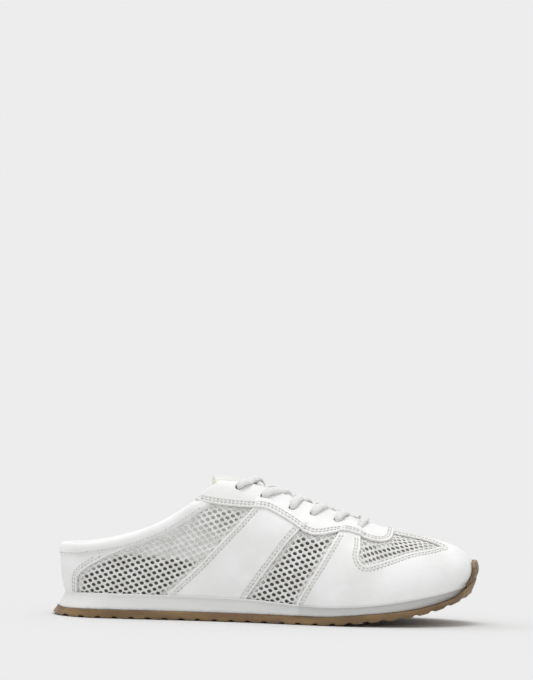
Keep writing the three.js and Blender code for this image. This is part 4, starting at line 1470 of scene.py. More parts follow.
@dataclass
class Pattern:
    """The shoe's cutting pattern: signed distances inside each panel's outline, on the form's grid."""

    surface: Surface
    under: float = 6.0
    run_on: float = 6.0
    lap: float = 3.0

    def __post_init__(self) -> None:
        """Draw every outline on the form."""
        s = self.surface
        lower = side_line(EYESTAY_LOWER)
        top = side_line(TOPLINE)
        self.top = top
        kept = top[top[:, 0] < to_x(SIZE.band_end) + self.run_on]
        step = np.gradient(kept, axis=0)
        self.seam_line = kept + unit(np.stack([step[:, 1], -step[:, 0]], 1)) * SIZE.band_height
        self.over_top = s.side_field(above(top))
        self.over_eyestay = s.side_field(above(lower))
        raised = s.side_field(above(lower + (0.0, self.under)))
        self.throat = s.plan_field(self.throat_outline())
        window = np.minimum(s.side_field(side_line(TOE_WINDOW)), -s.plan_field(plan_outline(VAMP_STRIP)))
        self.eyelets = {side: self.eyelet_places(side) for side in Side}
        holes = np.full(len(s.t), AWAY)
        for side in Side:
            for t, v in zip(*self.eyelets[side]):
                holes = np.minimum(holes, np.linalg.norm(s.at - form(t, v), axis=1) - SIZE.eyelet / 2)
        self.holes = holes
        self.eyestay = np.minimum.reduce([self.over_eyestay, -self.over_top, -self.throat, holes])
        self.toe_cap = np.minimum.reduce([s.side_field(toe_side(side_line(WING_REAR))), -raised, -window])
        straps = between(side_line(SADDLE_REAR), side_line(SADDLE_FRONT))
        self.saddle = np.minimum(s.side_field(straps), -raised)
        above_seam = s.side_field(above(self.seam_line + (0.0, self.lap)))
        self.counter = np.minimum(s.side_field(heel_side(side_line(COUNTER_FRONT))), -above_seam)
        self.tongue = s.plan_field(plan_outline(TONGUE_PLAN))

    @staticmethod
    def throat_rows() -> list[tuple[float, float]]:
        """The throat's half width along the shoe.

        Returns:
            Rows with a share of the length and the half width as a share of the ball width.
        """
        share = SIZE.throat_width / SIZE.ball_width
        rows = [(SIZE.band_end - 0.05, EYELETS[0][2] * share)] + [(a, w * share) for a, _, w in EYELETS]
        end = rows[-1]
        for angle in (30, 60, 80, 90):
            bend = math.radians(angle)
            rows.append((end[0] + (SIZE.throat_front - end[0]) * math.sin(bend), end[1] * math.cos(bend)))
        return rows

    def throat_outline(self) -> Array:
        """The throat's closed outline on the plan."""
        return plan_outline(self.throat_rows(), 4)

    def guess(self, target: Array, axes: tuple[int, int], side: Array) -> tuple[Array, Array]:
        """The grid points from which locate starts, those whose coordinates are nearest."""
        s = self.surface
        t, v = np.empty(len(target)), np.empty(len(target))
        for sign in (-1, 1):
            some = np.nonzero((np.sign(s.v) == sign) & (s.t > 0.02) & (s.t < 0.985))[0]
            tree = kdtree.KDTree(len(some))
            for i, p in zip(some, s.at[some][:, list(axes)]):
                tree.insert((p[0], p[1], 0.0), int(i))
            tree.balance()
            for k in np.nonzero(side == sign)[0]:
                i = tree.find((target[k][0], target[k][1], 0.0))[1]
                t[k], v[k] = s.t[i], s.v[i]
        return t, v

    def locate(self, target: Array, axes: tuple[int, int], side: Array) -> tuple[Array, Array]:
        """Where on the form two coordinates have given values.

        Args:
            target: The wanted coordinates, one pair a row.
            axes: Which coordinates they are.
            side: The sign of the side on which each pair lies.

        Returns:
            The t and v of each pair.
        """
        t, v = self.guess(target, axes, side)
        pick = list(axes)
        step = 1e-4
        for _ in range(9):
            here = form(t, v)[:, pick]
            by_t = (form(t + step, v)[:, pick] - here) / step
            by_v = (form(t, v - side * step)[:, pick] - here) / (-side * step)[:, None]
            miss = target - here
            det = by_t[:, 0] * by_v[:, 1] - by_t[:, 1] * by_v[:, 0]
            det = np.where(np.abs(det) < 1e-6, 1e-6, det)
            dt = (miss[:, 0] * by_v[:, 1] - miss[:, 1] * by_v[:, 0]) / det
            dv = (by_t[:, 0] * miss[:, 1] - by_t[:, 1] * miss[:, 0]) / det
            t = np.clip(t + np.clip(dt, -0.05, 0.05), 0.002, 0.998)
            v = side * np.clip(side * (v + np.clip(dv, -0.1, 0.1)), 2e-4, 1.07)
        return t, v

    def eyelet_places(self, side: Side) -> tuple[Array, Array]:
        """Where the eyelets of one side are on the form."""
        shares = np.array([(along, up) for along, up, _ in EYELETS])
        target = shares * (SIZE.length, SIZE.instep) - (SIZE.heel_centre, 0)
        return self.locate(target, (0, 2), np.full(len(target), side.value))


@dataclass
class Sole:
    """Gum outsole with its toe bumper, and the foam midsole over it."""

    gum: Material
    foam: Material
    stations: int = 400
    notch: float = 0.62
    chevron: float = 3.2
    climb: float = 3.2
    soft: float = 0.7

    def groove(self, x: Array) -> Array:
        """How deep the tread is cut at x, from 0 to 1."""
        s = np.asarray(x, float) + SIZE.heel_centre
        away = np.abs((s / SIZE.lug_pitch + 0.5) % 1.0 - 0.5) * SIZE.lug_pitch
        ends = smooth(s, 5.0, 9.0) * smooth(s, SIZE.length - 5.0, SIZE.length - 9.0)
        return smooth(away, SIZE.lug_gap / 2 + self.soft, SIZE.lug_gap / 2 - self.soft) * ends

    def toe_rise(self, x: Array) -> Array:
        """How far the gum's side climbs over the midsole, to meet the bumper."""
        return self.climb * smooth(x, to_x(0.93), to_x(0.982))

    def underside(self, x: float, share: float) -> float:
        """Height of the tread's underside, whose lugs bend in a chevron, at a share of the way across."""
        bend = self.chevron * np.sin(np.pi * share)
        rib = 0.8 * smooth(abs(share - 0.5), 0.06, 0.03)
        cut = np.maximum(self.groove(x + bend), rib) if 0.02 < share < 0.98 else self.groove(x + bend)
        return tread_under(x) + SIZE.lug_depth * cut

    def outsole(self) -> Object:
        """The tread and its side wall."""
        def wall(share: float, lift: float) -> Callable[[Array], Array]:
            """The height of a loop at a share of the wall, with the lugs' notches in its foot."""
            return lambda x: (tread_under(x) + self.notch * SIZE.lug_depth * self.groove(x) * (1 - share)
                              + lift
                              + share * (tread_top(x) - tread_under(x) + self.toe_rise(x)))

        # Inset, how far behind the toe, share of the wall's height, lift, how far on from the heel, "edge"
        rows = [(2.0, 5.0, 0.0, 0.0, 0.0, 0.0), (0.8, 4.9, 0.0, 0.3, 0.0, 0.2),
                (0.2, 4.8, 0.0, 0.65, 0.1, 0.6), (0.0, 4.5, 0.05, 0.62, 0.3, 1.2),
                (0.04, 3.6, 0.3, 0.3, 0.8, 2.2), (0.22, 2.2, 0.6, 0.0, 1.6, 3.4),
                (0.48, 1.3, 0.84, 0.0, 2.0, 4.4), (0.66, 1.1, 0.95, 0.0, 2.0, 5.0),
                (0.92, 1.1, 1.0, 0.0, 2.0, 5.4), (4.6, 1.6, 1.0, 0.0, 2.0, 6.0)]
        loops = [sole_loop(self.stations, 0.0, inset, back, wall(share, lift), on)
                 for inset, back, share, lift, on, _ in rows]
        return stacked("outsole_gum", loops, 18, [row[-1] for row in rows], self.underside)

    def bumper(self, surface: Surface) -> Object:
        """The strip of gum that wraps up the toe."""
        face = surface.at + surface.out * (SIZE.over + SIZE.bumper_thick)
        level = inside(toe_side(side_line(BUMPER, 4)), face[:, [0, 2]])
        level = np.minimum(level, SIZE.instep * BUMPER[-1][1] - face[:, 2])
        panel = Panel("toe_bumper", level, SIZE.bumper_thick - 0.1, SIZE.over + 0.1, 1.3, SIZE.bumper_skirt)
        return panel.build(surface)

    def midsole(self) -> Object:
        """The foam wedge between the tread and the upper."""
        def rise(share: float, lift: float) -> Callable[[Array], Array]:
            """The height of a loop at a share of the foam, a hair above the gum."""
            return lambda x: tread_top(x) + 0.02 + share * (stack_top(x) - tread_top(x)) + lift

        out = -SIZE.over
        # From the sole's edge (0) to the feather line (1), inset, share of the height, lift, how far on
        # from the heel, "edge"
        rows = [(0.0, 3.0, 0.0, 0.0, 2.0, 0.0), (0.0, 1.7, 0.0, 0.05, 2.0, 0.1),
                (0.0, 1.15, 0.0, 0.4, 2.0, 0.4), (0.0, 0.95, 0.0, 1.1, 2.5, 1.1),
                (0.16, 0.6, 0.22, 0.4, 2.3, 3.0), (0.4, 0.12, 0.45, 0.0, 1.6, 5.0),
                (0.7, -0.7, 0.68, 0.0, 1.0, 7.0), (0.92, out + 0.1, 0.86, -0.2, 0.6, 8.0),
                (1.0, out - 0.42, 1.0, -1.0, 0.5, NO_EDGE), (1.0, out - 0.36, 1.0, -0.45, 0.5, NO_EDGE),
                (1.0, out - 0.05, 1.0, -0.1, 0.5, NO_EDGE), (1.0, out + 0.6, 1.0, 0.0, 0.5, NO_EDGE),
                (1.0, out + 2.6, 1.0, 0.0, 0.5, NO_EDGE)]
        loops = [sole_loop(self.stations, blend, inset, SIZE.midsole_toe, rise(share, lift), on)
                 for blend, inset, share, lift, on, _ in rows]
        return stacked("midsole_foam", loops, 6, [row[-1] for row in rows])

    def build(self, surface: Surface) -> None:
        """Make and dress the sole."""
        ride(self.outsole(), self.gum, "gum", "outsole")
        ride(self.bumper(surface), self.gum, "gum")
        ride(self.midsole(), self.foam, "foam", "midsole")


@dataclass
class SockBed:
    """The insole board and its fabric, dished a little below its rim."""

    fabric: Material
    stations: int = 130

    def build(self) -> None:
        """Make and dress the sock bed."""
        inset = SIZE.wall + 2 * SIZE.gap
        # Inset, and height over the foam's gap
        rows = [(inset + 0.3, 0.0), (inset, 0.5), (inset, 2.6), (inset + 0.3, 3.2),
                (inset + 1.2, SIZE.insole), (inset + 4.0, SIZE.insole - 0.25),
                (inset + 9.0, SIZE.insole - 0.7)]
        loops = [sole_loop(self.stations, 1.0, a, SIZE.toe_inset, lambda x, b=b: stack_top(x) + SIZE.gap + b)
                 for a, b in rows]
        ride(stacked("sock_bed", loops, 10), self.fabric, "lining", "insole")


@dataclass
class Upper:
    """The lining wall, and the open knit that shows between the leather panels."""

    pattern: Pattern
    lining: Material
    knit: Material
    depth: float = 1.35
    margin: float = 3.2
    seam_allowance: float = 3.0
    # How far painted light lifts the shade behind the collar, and the height and slope of that light's lower
    # edge
    glow: float = 0.86
    glow_height: float = 39.3
    glow_slope: float = 0.052
    grid: tuple[int, int] = (200, 160)

    def covered(self, p: Pattern) -> Array:
        """Distance inside whatever leather covers the form."""
        collar = p.surface.side_field(above(p.seam_line))
        collar = np.where(p.surface.at[:, 0] < to_x(SIZE.band_end), collar, -AWAY)
        return np.maximum.reduce([p.toe_cap, p.saddle, p.counter, collar, p.over_eyestay])

    def wall(self, coarse: Pattern) -> Object:
        """The lining, which is set back behind the open knit."""
        s = coarse.surface
        open_by = -self.covered(coarse)
        back = smooth(open_by, -1.5, 0.5)
        shade = self.shade(s.at, open_by)
        outer = -0.15 - self.depth * back * (0.45 + 0.55 * shade)
        below_roll = -s.side_field(above(coarse.top - (0.0, 1.4)))
        level = np.minimum.reduce([below_roll, -coarse.throat, coarse.holes])
        panel = Panel("upper_lining", level, outer + SIZE.wall, -SIZE.wall, 0.6, 0.3)
        # The lining carries painted shade: one attribute darkens its face where the knit shows the shaded
        # inside, the other lightens that shade higher up
        return panel.build(s, {"shade": shade, "veil": smooth(s.at[:, 2], 26.0, 52.0)})

    def shade(self, at: Array, open_by: Array) -> Array:
        """How dark the painted shade of the inside is, seen through the knit at each point.

        Args:
            at: The points.
            open_by: How far each lies from the leather, inside an opening.

        Returns:
            The darkness, from 0 where light falls in to 1.
        """
        x, z = at[:, 0], at[:, 2]
        # Painted light: behind the collar, where light falls in through the opening, the shade is lifted,
        # less so under the eyestay. The shade is also lighter at the toe and towards the front, and the
        # lining stays pale within the seam allowance.
        line = self.glow_height - self.glow_slope * (x - to_x(0.19))
        behind_collar = smooth(z, line - 0.35, line + 0.35) * smooth(x, to_x(0.50), to_x(0.48))
        under_stay = 0.6 * smooth(x, to_x(0.30), to_x(0.42)) * smooth(z, 50.0, 62.0)
        glow = self.glow * behind_collar * (1.0 - under_stay)
        vamp = smooth(x, to_x(0.82), to_x(0.895)) * 0.75
        seam = smooth(open_by, self.seam_allowance * 0.35, self.seam_allowance * 1.25)
        front = 1.0 - 0.25 * smooth(x, to_x(0.66), to_x(0.72))
        return np.clip(seam * (1.0 - glow) * (1.0 - vamp) * front, 0.0, 1.0)

    def side_knit(self, side: Side) -> Object:
        """The knit of the two openings on one side."""
        p = self.pattern
        knit = OpenKnit(self.knit)
        points = knit.lattice((to_x(0.05), 12.0), (to_x(0.70), 76.0))
        leather = [above(side_line(EYESTAY_LOWER)), above(p.seam_line), toe_side(side_line(WING_REAR)),
                   between(side_line(SADDLE_REAR), side_line(SADDLE_FRONT)),
                   heel_side(side_line(COUNTER_FRONT))]
        level = np.minimum.reduce([-inside(outline, points) for outline in leather])
        foot = points[:, 1] - stack_top(points[:, 0]) - SIZE.gap
        points = points[(level > -self.margin) & (foot > -1.2)]

        def onto(flat: Array, height: Array) -> Array:
            """Points in space of flat points, whose two distances are x and z, and heights."""
            t, v = p.locate(flat, (0, 2), np.full(len(flat), side.value))
            at, out = p.surface.place(t, v)
            return at + out * height[:, None]

        return knit.build(f"open_knit_{side.name.lower()}", points, onto, side is Side.MEDIAL)

    def toe_knit(self, side: Side) -> Object:
        """The knit of the opening beside the vamp strip, laid out from the crest down."""
        p = self.pattern
        knit = OpenKnit(self.knit, across=(3.35, 2.2), up=(-0.4, 4.1), hole=(1.38, 1.15), tilt=35.0)
        ribs, steps = self.grid
        t_grid = np.linspace(0.5, 0.97, ribs)
        v_grid = np.linspace(0.0, 1.0, steps)
        net = form(t_grid[:, None], side.value * v_grid[None, :])
        along_ribs = np.cumsum(np.linalg.norm(np.diff(net, axis=1), axis=2), 1)
        runs = np.concatenate([np.zeros((ribs, 1)), along_ribs], 1)
        crest = net[:, 0, 0]

        def to_form(flat: Array) -> tuple[Array, Array]:
            """The t and v of flat points, given as x on the crest and minus the distance down from it."""
            row = np.clip(np.interp(flat[:, 0], crest, np.arange(ribs)), 0, ribs - 1.001)
            low = row.astype(int)
            share = row - low
            v = np.empty(len(flat))
            for i, (k, u, q) in enumerate(zip(low, share, flat[:, 1])):
                v[i] = np.interp(-q, runs[k] * (1 - u) + runs[k + 1] * u, v_grid)
            return np.interp(row, np.arange(ribs), t_grid), side.value * np.maximum(v, 2e-4)

        points = knit.lattice((to_x(0.66), -64.0), (to_x(0.93), -1.0))
        t, v = to_form(points)
        at = form(t, v)
        window = np.minimum(inside(side_line(TOE_WINDOW), at[:, [0, 2]]),
                            -inside(plan_outline(VAMP_STRIP), at[:, :2]))
        covered = inside(above(side_line(EYESTAY_LOWER)), at[:, [0, 2]])
        points = points[np.minimum(window, -covered) > -self.margin * 0.8]

        def onto(flat: Array, height: Array) -> Array:
            """Points in space of flat points and heights."""
            at, out = p.surface.place(*to_form(flat))
            return at + out * height[:, None]

        return knit.build(f"open_knit_toe_{side.name.lower()}", points, onto, side is Side.MEDIAL)

    def build(self, coarse: Pattern) -> None:
        """Make and dress the lining and the knit."""
        ride(self.wall(coarse), self.lining, "lining", "upper")
        for side in Side:
            ride(self.side_knit(side), self.knit, "mesh")
            ride(self.toe_knit(side), self.knit, "mesh")


@dataclass
class Overlays:
    """The leather panels and their lockstitch rows."""

    pattern: Pattern
    leather: Material
    thread: Stitching
    base: float = 0.2
    lift: float = 0.1
    stay_extra: float = 0.15

    def rows(self, distance: Array, face: Array | float, keep: Callable[[Array], Array]) -> list[Seam]:
        """The stitch rows inside a panel's edge.

        Args:
            distance: Distance from the edge, one value a grid point.
            face: Height of the panel's face over the form.
            keep: Says which points a row may have.

        Returns:
            The rows.
        """
        found = []
        for inset in STITCH_ROWS:
            found += seams(self.pattern.surface, distance, inset, np.asarray(face) + self.lift, keep)
        return found

    def build(self) -> None:
        """Make, stitch and dress the panels."""
        p = self.pattern
        s = p.surface
        lower = side_line(EYESTAY_LOWER)
        seam = p.seam_line
        face = self.base + SIZE.leather

        def clear(at: Array) -> Array:
            """Points that no other panel covers."""
            under = inside(above(lower - (0.0, 1.6)), at[:, [0, 2]]) > 0
            collar = (inside(above(seam - (0.0, 2.2)), at[:, [0, 2]]) > 0) & (at[:, 0] < to_x(0.34))
            foot = at[:, 2] < stack_top(at[:, 0]) + 1.0
            return ~(under | collar | foot)

        panels = {
            "toe_cap_leather": (p.toe_cap, "toe_cap"),
            "heel_counter_leather": (p.counter, "heel_counter"),
            "saddle_lateral_leather": (np.minimum(p.saddle, -s.at[:, 1]), "saddle_lateral"),
            "saddle_medial_leather": (np.minimum(p.saddle, s.at[:, 1]), "saddle_medial"),
        }
        rows: list[Seam] = []
        cover = np.full(len(s.t), -s.farthest)
        for name, (level, node) in panels.items():
            piece = Panel(name, level, SIZE.leather, self.base).build(s)
            ride(piece, self.leather, "leather", node)
            distance = s.rim_distance(level)
            cover = np.maximum(cover, distance)
            rows += self.rows(distance, face, clear)
        # The lace stay climbs over the panels under it, and over the collar's roll at its rear end
        raised = self.base + SIZE.leather * 0.92 * smooth(cover, -1.6, 0.8)
        raised = raised + 1.5 * smooth(s.at[:, 0], to_x(0.347), to_x(0.318))
        distance = s.rim_distance(p.over_eyestay)
        thick = SIZE.leather + self.stay_extra
        eyestay = Panel("eyestay_leather", p.eyestay, thick, raised, 0.75, seam=distance)
        ride(eyestay.build(s), self.leather, "leather", "eyestay")
        face_up = raised + SIZE.leather + self.stay_extra

        def low_edge(at: Array) -> Array:
            """Points near the eyestay's lower edge, and round its front end."""
            near = inside(above(lower + (0.0, 5.6)), at[:, [0, 2]]) < 0
            return (near | (at[:, 0] > to_x(0.765))) & (at[:, 0] > to_x(0.345))

        rows += self.rows(distance, face_up, low_edge)
        ride(self.thread.build("lockstitch", rows), self.thread.material, "leather")


def sweep(name: str, frames: tuple[Array, Array, Array], sections: Array,
          values: dict[str, Array] | None = None) -> Object:
    """A body swept along a line and closed at both ends.

    Args:
        name: The piece's name.
        frames: The line's points, and the directions across it and out of the face.
        sections: For each of the line's points, the section's across and out distances.
        values: Values to keep, by ring and place.

    Returns:
        The body.
    """
    at, across, out = frames
    rings = at[:, None] + across[:, None] * sections[..., 0, None] + out[:, None] * sections[..., 1, None]
    many, count = rings.shape[:2]
    faces = ring_walls(many, count)
    faces.append(tuple(range(count))[::-1])
    faces.append(tuple((many - 1) * count + i for i in range(count)))
    kept = {key: value.reshape(-1) for key, value in (values or {}).items()}
    return make_mesh(name, rings.reshape(-1, 3), faces, kept, outward=True)


def closed_curve(points: Array, steps: int) -> Array:
    """A smooth closed section through points."""
    points = np.asarray(points, float)
    wrapped = np.vstack([points[-2:], points, points[:3]])
    line = curve(wrapped, steps)
    return line[2 * steps:(2 + len(points)) * steps]


@dataclass
class Collar:
    """The padded roll round the opening, sewn down along its lower seam."""

    pattern: Pattern
    leather: Material
    thread: Stitching
    rings: int = 330
    bulge: float = 1.25
    overlap: float = 5.0
    drop: float = 1.1
    fade: float = 11.0
    stitch_from: float = 7.0

    @property
    def low(self) -> float:
        """How far the roll's lower corner lies under the topline, before the roll is dropped."""
        return SIZE.band_height - 0.8

    def path(self) -> tuple[Array, Array]:
        """The topline round the heel.

        Returns:
            Its points, from the lateral end on, and the directions square to the form.
        """
        p = self.pattern
        end = to_x(SIZE.band_end) + self.overlap
        found = seams(p.surface, -p.over_top, 0.0, 0.0, lambda at: at[:, 0] < end)
        line = max(found, key=lambda seam: len(seam.at))
        both = spaced(np.hstack([line.at, line.out]), self.rings)
        if both[0, 1] > 0:
            both = both[::-1]
        return both[:, :3], unit(both[:, 3:])

    def section(self) -> Array:
        """The roll's section: distances across (up is positive) and out."""
        low = self.low
        face = SIZE.over
        return (-self.drop, 0.0) + closed_curve(np.array([
            (-low, face - 0.5), (-0.93 * low, face + 0.35), (-0.7 * low, face + 0.9 * self.bulge),
            (-0.42 * low, face + self.bulge), (-0.16 * low, face + 0.3), (0.0, -0.3), (-0.02 * low, -2.4),
            (-0.2 * low, -4.6), (-0.55 * low, -5.5), (-0.85 * low, -4.9), (-1.12 * low, -2.6),
            (-1.08 * low, -1.0),
        ]), 4)

    def build(self) -> None:
        """Make, stitch and dress the roll."""
        at, out = self.path()
        along = unit(np.gradient(at, axis=0))
        across = unit(np.cross(along, out))
        run = np.concatenate([[0], np.cumsum(np.linalg.norm(np.diff(at, axis=0), axis=1))])
        ends = smooth(run, 0.0, self.fade) * smooth(run, run[-1], run[-1] - self.fade)
        waves = 0.16 * np.sin(run / 7.3 + 0.8) + 0.12 * np.sin(run / 4.1 + 2.0) + 0.1 * np.sin(run / 12.7)
        waves = waves * ends
        section = self.section()
        sections = np.repeat(section[None], len(at), axis=0)
        flush = 1.0 - 0.5 * smooth(at[:, 0], to_x(0.1), to_x(0.03))
        sections[..., 1] *= np.where(section[None, :, 1] > 0, flush[:, None], 1.0)
        puff = smooth(section[:, 1], -1.0, 2.0)[None, :] * waves[:, None]
        sections[..., 1] += puff
        sections[..., 1] *= (0.35 + 0.65 * ends)[:, None]
        low = self.low + self.drop
        edge = np.repeat((section[:, 0] + low)[None] + 1.3, len(at), axis=0)
        edge = np.where(section[None, :, 1] > 0, edge, NO_EDGE)
        roll = sweep("collar_roll", (at, across, out), sections, {"edge": edge})
        ride(roll, self.leather, "leather", "collar_band")
        # The point of the section's outer face that is nearest to the stitch row
        k = int(np.argmin(np.abs(section[:, 0] + low - COLLAR_ROW) + np.where(section[:, 1] > 1.0, 0, AWAY)))
        line = at + across * sections[:, k, :1] + out * (sections[:, k, 1:] + 0.08)
        keep = (run > self.stitch_from) & (run < run[-1] - self.stitch_from)
        facing = unit(out - 0.25 * across)
        stitches = self.thread.build("collar_stitches", [Seam(line[keep], facing[keep])])
        ride(stitches, self.thread.material, "leather")


@dataclass
class Tongue:
    """The padded tongue and the binding round its tip."""

    pattern: Pattern
    cloth: Material
    binding: Material
    rise: float = 1.6
    rings: int = 90
    sides: int = 14

    def build(self) -> None:
        """Make and dress the tongue and its binding."""
        p = self.pattern
        s = p.surface
        outside = -SIZE.wall - SIZE.gap
        middle = smooth(p.throat, -1.5, 5.0)
        tip = smooth(s.at[:, 0], to_x(0.43), to_x(0.385))
        drop = self.rise * (1.0 - np.maximum(middle, 0.75 * tip)) + 0.1
        quilt = 0.35 * np.sin(np.pi * np.clip(p.throat / 13.0, 0, 1))
        thick = SIZE.tongue - drop + quilt - 0.15
        pad = Panel("tongue_pad", p.tongue, thick, outside - SIZE.tongue, 1.7, 0.0)
        piece = pad.build(s)
        ride(piece, self.cloth, "leather", "tongue")
        rows = seams(s, s.rim_distance(p.tongue), 1.3, outside - 0.5 * SIZE.tongue - 0.2,
                     lambda at: at[:, 0] < to_x(0.415))
        row = max(rows, key=lambda r: len(r.at))
        both = spaced(np.hstack([row.at, row.out]), self.rings)
        at, out = both[:, :3], unit(both[:, 3:])
        along = unit(np.gradient(at, axis=0))
        across = unit(np.cross(along, out))
        angle = 2 * np.pi * np.arange(self.sides) / self.sides
        ring = np.stack([1.3 * np.cos(angle), 2.1 * np.sin(angle)], 1)
        sections = np.repeat(ring[None], len(at), axis=0)
        from_end = np.minimum(np.arange(self.rings), np.arange(self.rings)[::-1])
        taper = np.sqrt(np.clip(from_end / 5.0, 0.08, 1.0))
        sections *= taper[:, None, None]
        ride(sweep("tongue_binding", (at, across, out), sections), self.binding, "lining")


# A station of the lace: x, y, height over the form, and how free it is (1) or squeezed (0)
Station = tuple[float, float, float, float]


@dataclass
class Lace:
    """One oval lace, threaded through every eyelet and held all the way."""

    pattern: Pattern
    braid: Material
    step: float = 0.9
    sides: int = 16
    leans: tuple[float, ...] = (6.4, 9.0, 4.6, 7.0, 5.6, 3.6)
    pinched: tuple[float, float] = (3.3, 2.3)
    swell: tuple[float, float] = (0.5, 0.7)
    squareness: float = 0.86

    def throat_edge(self, x: float, side: Side, inset: float = 0.0) -> Array:
        """The point at x on one edge of the throat, or so far inside it, as x and y."""
        along = (x + SIZE.heel_centre) / SIZE.length
        rows = np.array(self.pattern.throat_rows())
        half = float(np.interp(along, rows[:, 0], rows[:, 1])) * SIZE.ball_width
        return np.array((x, float(centre_line(np.array(along))) + side.value * (half - inset)))

    def up_through(self, at: Array, side: Side) -> list[Station]:
        """The lace's way up through an eyelet, from under the lace stay."""
        x, y = at
        return [(x - 1.2, y - side.value * 1.0, -3.5, 0.3), (x, y, -1.6, 0.0),
                (x + 0.1, y - side.value * 0.1, 0.9, 0.05)]

    def across(self, at: Array, onto: Array, side: Side, lean: float, upper: bool) -> list[Station]:
        """The lace's way over the lace stay and across the throat, to under the other side.

        Args:
            at: The eyelet that it comes from.
            onto: The eyelet that it goes to.
            side: The side that it starts on.
            lean: How far it leans forward up to the throat's edge.
            upper: Whether it lies on top where two laces cross.

        Returns:
            The stations of the way.
        """
        edge = self.throat_edge(at[0] + lean, side)
        rim = self.throat_edge(onto[0] + 1.5, side.other, 0.6)
        # From, to, share of the way, height where it lies on top and where it doesn't, how free it is
        legs = [(at, edge, 0.12, 2.5, 2.5, 0.85), (at, edge, 0.5, 3.1, 3.1, 1.0),
                (at, edge, 1.0, 2.2, 2.2, 1.0), (edge, rim, 0.1, 0.8, 0.4, 1.0),
                (edge, rim, 0.22, -0.5, -1.2, 1.0), (edge, rim, 0.5, 0.4, -2.1, 1.0),
                (edge, rim, 0.78, -1.5, -2.1, 0.9), (edge, rim, 1.0, -3.2, -3.2, 0.35),
                (rim, onto, 0.5, -3.5, -3.5, 0.3)]
        return [(*(a + (b - a) * share), top if upper else low, free) for a, b, share, top, low, free in legs]

    def bar(self, at: Array, onto: Array) -> list[Station]:
        """The straight bar between the two lowest eyelets."""
        found = []
        for share, height, free in ((0.1, 3.0, 0.75), (0.28, 3.4, 1.0), (0.5, 2.2, 1.0), (0.72, 3.4, 1.0),
                                    (0.9, 3.0, 0.75)):
            x, y = at + (onto - at) * share
            found.append((x + self.leans[-1] * math.sin(math.pi * share), y, height, free))
        return found

    def stations(self) -> list[Station]:
        """The lace's whole way, from its lateral end by way of the bar to its medial one."""
        places = {side: form(*self.pattern.eyelets[side])[:, :2] for side in Side}
        last = len(EYELETS) - 1
        halves = []
        for first in Side:
            way: list[Station] = []
            side = first
            for level in range(last):
                at, onto = places[side][level], places[side.other][level + 1]
                upper = (level % 2 == 0) == (first is Side.LATERAL)
                way += self.up_through(at, side)
                way += self.across(at, onto, side, self.leans[level], upper)
                side = side.other
            halves.append(way + self.up_through(places[side][last], side))
            if first is Side.LATERAL:
                bar = self.bar(places[side][last], places[side.other][last])
        return halves[0] + bar + halves[1][::-1]

    def build(self) -> None:
        """Make and dress the lace."""
        p = self.pattern
        way = np.array(self.stations())
        side = np.where(way[:, 1] < centre_line((way[:, 0] + SIZE.heel_centre) / SIZE.length), -1, 1)
        t, v = p.locate(way[:, :2], (0, 1), side)
        at, out = p.surface.place(t, v)
        points = at + out * way[:, 2:3]
        dense = curve(np.hstack([points, out, way[:, 3:4]]), 8)
        run = np.linalg.norm(np.diff(dense[:, :3], axis=0), axis=1).sum()
        dense = spaced(dense, int(run / self.step))
        at, out, free = dense[:, :3], unit(dense[:, 3:6]), np.clip(dense[:, 6], 0, 1)
        for _ in range(2):
            at[1:-1] = (at[:-2] + 2 * at[1:-1] + at[2:]) / 4
        along = unit(np.gradient(at, axis=0))
        broad = np.cross(along, out)
        # Where the lace stands up through an eyelet its direction across is unsure, so it counts less
        broad = broad * np.linalg.norm(broad, axis=1, keepdims=True)
        for _ in range(14):
            broad[1:-1] = (broad[:-2] + 2 * broad[1:-1] + broad[2:]) / 4
        across = unit(broad - along * np.sum(broad * along, axis=1, keepdims=True))
        out = unit(np.cross(across, along))
        tight = np.array(self.pinched)
        loose = np.array((SIZE.lace_width, SIZE.lace_thick)) + self.swell
        wide, high = ((tight + (loose - tight) * free[:, None]) / 2).T
        squeezed = np.clip(1 - np.abs(free - 0.32) / 0.06, 0, 1)
        high = high * (1 - 0.35 * squeezed)
        angle = 2 * np.pi * np.arange(self.sides) / self.sides
        a = np.sign(np.cos(angle)) * np.abs(np.cos(angle)) ** self.squareness
        b = np.sign(np.sin(angle)) * np.abs(np.sin(angle)) ** self.squareness
        sections = np.stack([wide[:, None] * a, high[:, None] * b], -1)
        length = np.concatenate([[0], np.cumsum(np.linalg.norm(np.diff(at, axis=0), axis=1))])
        kept = {"along": np.repeat(length[:, None], self.sides, 1),
                "round": np.repeat(angle[None] / (2 * np.pi), len(at), 0)}
        nodes = ["lace_bar"] + [f"lace_cross_{k + 1}" for k in range(len(EYELETS) - 1)]
        ride(sweep("lace", (at, across, out), sections, kept), self.braid, "lace", *nodes)
        log.info("the lace is %.0f mm long", length[-1])


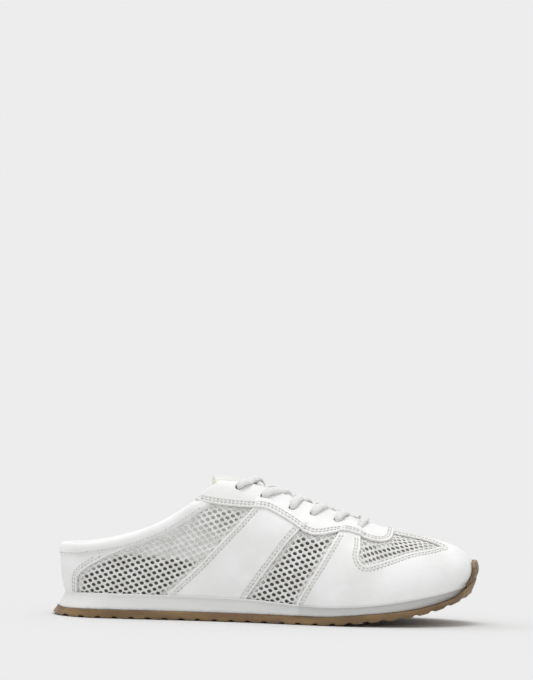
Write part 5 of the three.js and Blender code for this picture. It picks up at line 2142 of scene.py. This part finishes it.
@dataclass
class Studio:
    """A camera placed as the photograph's was judged to be, a pale floor and soft light."""

    camera_at: tuple[float, float, float] = (96.28, -1200.0, 95.0)
    pitch: float = 4.066
    roll: float = 1.535
    lens: float = 97.57
    paper: str = "#d6d6d6"
    sky: float = 0.845
    sun: float = 1.12

    def camera(self) -> None:
        """Set up the camera."""
        data = bpy.data.cameras.new("camera")
        data.lens = self.lens
        data.sensor_width = 36.0
        data.clip_end = 50.0
        obj = linked("camera", data)
        p, r = math.radians(self.pitch), math.radians(self.roll)
        ahead = Vector((0, math.cos(p), math.sin(p)))
        right = Vector((1, 0, 0))
        up = right.cross(ahead)
        x_axis = right * math.cos(r) + up * math.sin(r)
        y_axis = up * math.cos(r) - right * math.sin(r)
        turned = Matrix((x_axis, y_axis, -ahead)).transposed().to_4x4()
        obj.matrix_world = Matrix.Translation(Vector(self.camera_at) * MM) @ turned
        bpy.context.scene.camera = obj

    def floor(self) -> None:
        """Lay the floor."""
        reach = 12000.0
        corners = [(-reach, -reach, 0), (reach, -reach, 0), (reach, reach, 0), (-reach, reach, 0)]
        obj = make_mesh("floor", np.array(corners), [(0, 1, 2, 3)])
        look = Finish("matt_studio_paper", 0.95, 1.45, Specular_IOR_Level=0.0, Base_Color=colour(self.paper))
        obj.data.materials.append(look.finish(None, look.bump(look.noise(1.0), 0.01)))

    def lights(self) -> None:
        """Hang the lights: an even white room, a broad soft source from above and a weak one from behind."""
        world = bpy.data.worlds.new("white_room")
        world.use_nodes = True
        back = world.node_tree.nodes["Background"]
        back.inputs["Color"].default_value = (1.0, 1.0, 1.0, 1.0)
        back.inputs["Strength"].default_value = self.sky
        bpy.context.scene.world = world
        for name, energy, angle, aim in (("top_light", self.sun, 26.0, (0.0, 0.06, -1.0)),
                                         ("rear_light", self.sun * 0.2, 40.0, (0.6, -0.5, -1.0))):
            lamp = bpy.data.lights.new(name, "SUN")
            lamp.energy = energy
            lamp.angle = math.radians(angle)
            linked(name, lamp).rotation_euler = Vector(aim).to_track_quat("-Z", "Y").to_euler()

    def build(self) -> None:
        """Set up all of it, with colours shown as they are."""
        self.camera()
        self.floor()
        self.lights()
        bpy.context.scene.view_settings.view_transform = "Standard"


def main() -> None:
    """Build the shoe from the ground up, then the room round it."""
    logging.basicConfig(level=logging.INFO, format="%(message)s")
    leather = CorrectedGrainLeather().make()
    collar_leather = CorrectedGrainLeather("white_padded_collar_leather", rows=(COLLAR_ROW,),
                                           pebble=1.3).make()
    tongue_leather = CorrectedGrainLeather("white_soft_tongue_leather", "#dfdfdd", "#d6d6d3", rows=(),
                                           pebble=0.9).make()
    knit = SpacerKnit().make()
    lining = BrushedLining().make()
    thread = Stitching(BondedThread().make())
    surface = Surface()
    pattern = Pattern(surface)
    coarse = Pattern(Surface(200, 132))
    Sole(GumRubber().make(), MouldedFoam().make()).build(surface)
    SockBed(SockFabric().make()).build()
    Upper(pattern, lining, knit).build(coarse)
    Overlays(pattern, leather, thread).build()
    Collar(pattern, collar_leather, thread).build()
    binding = SpacerKnit("beige_tape_binding", "#ece6d8", "#ddd4c0").make()
    Tongue(coarse, tongue_leather, binding).build()
    Lace(pattern, BraidedLace().make()).build()
    Studio().build()


if __name__ == "__main__":
    main()
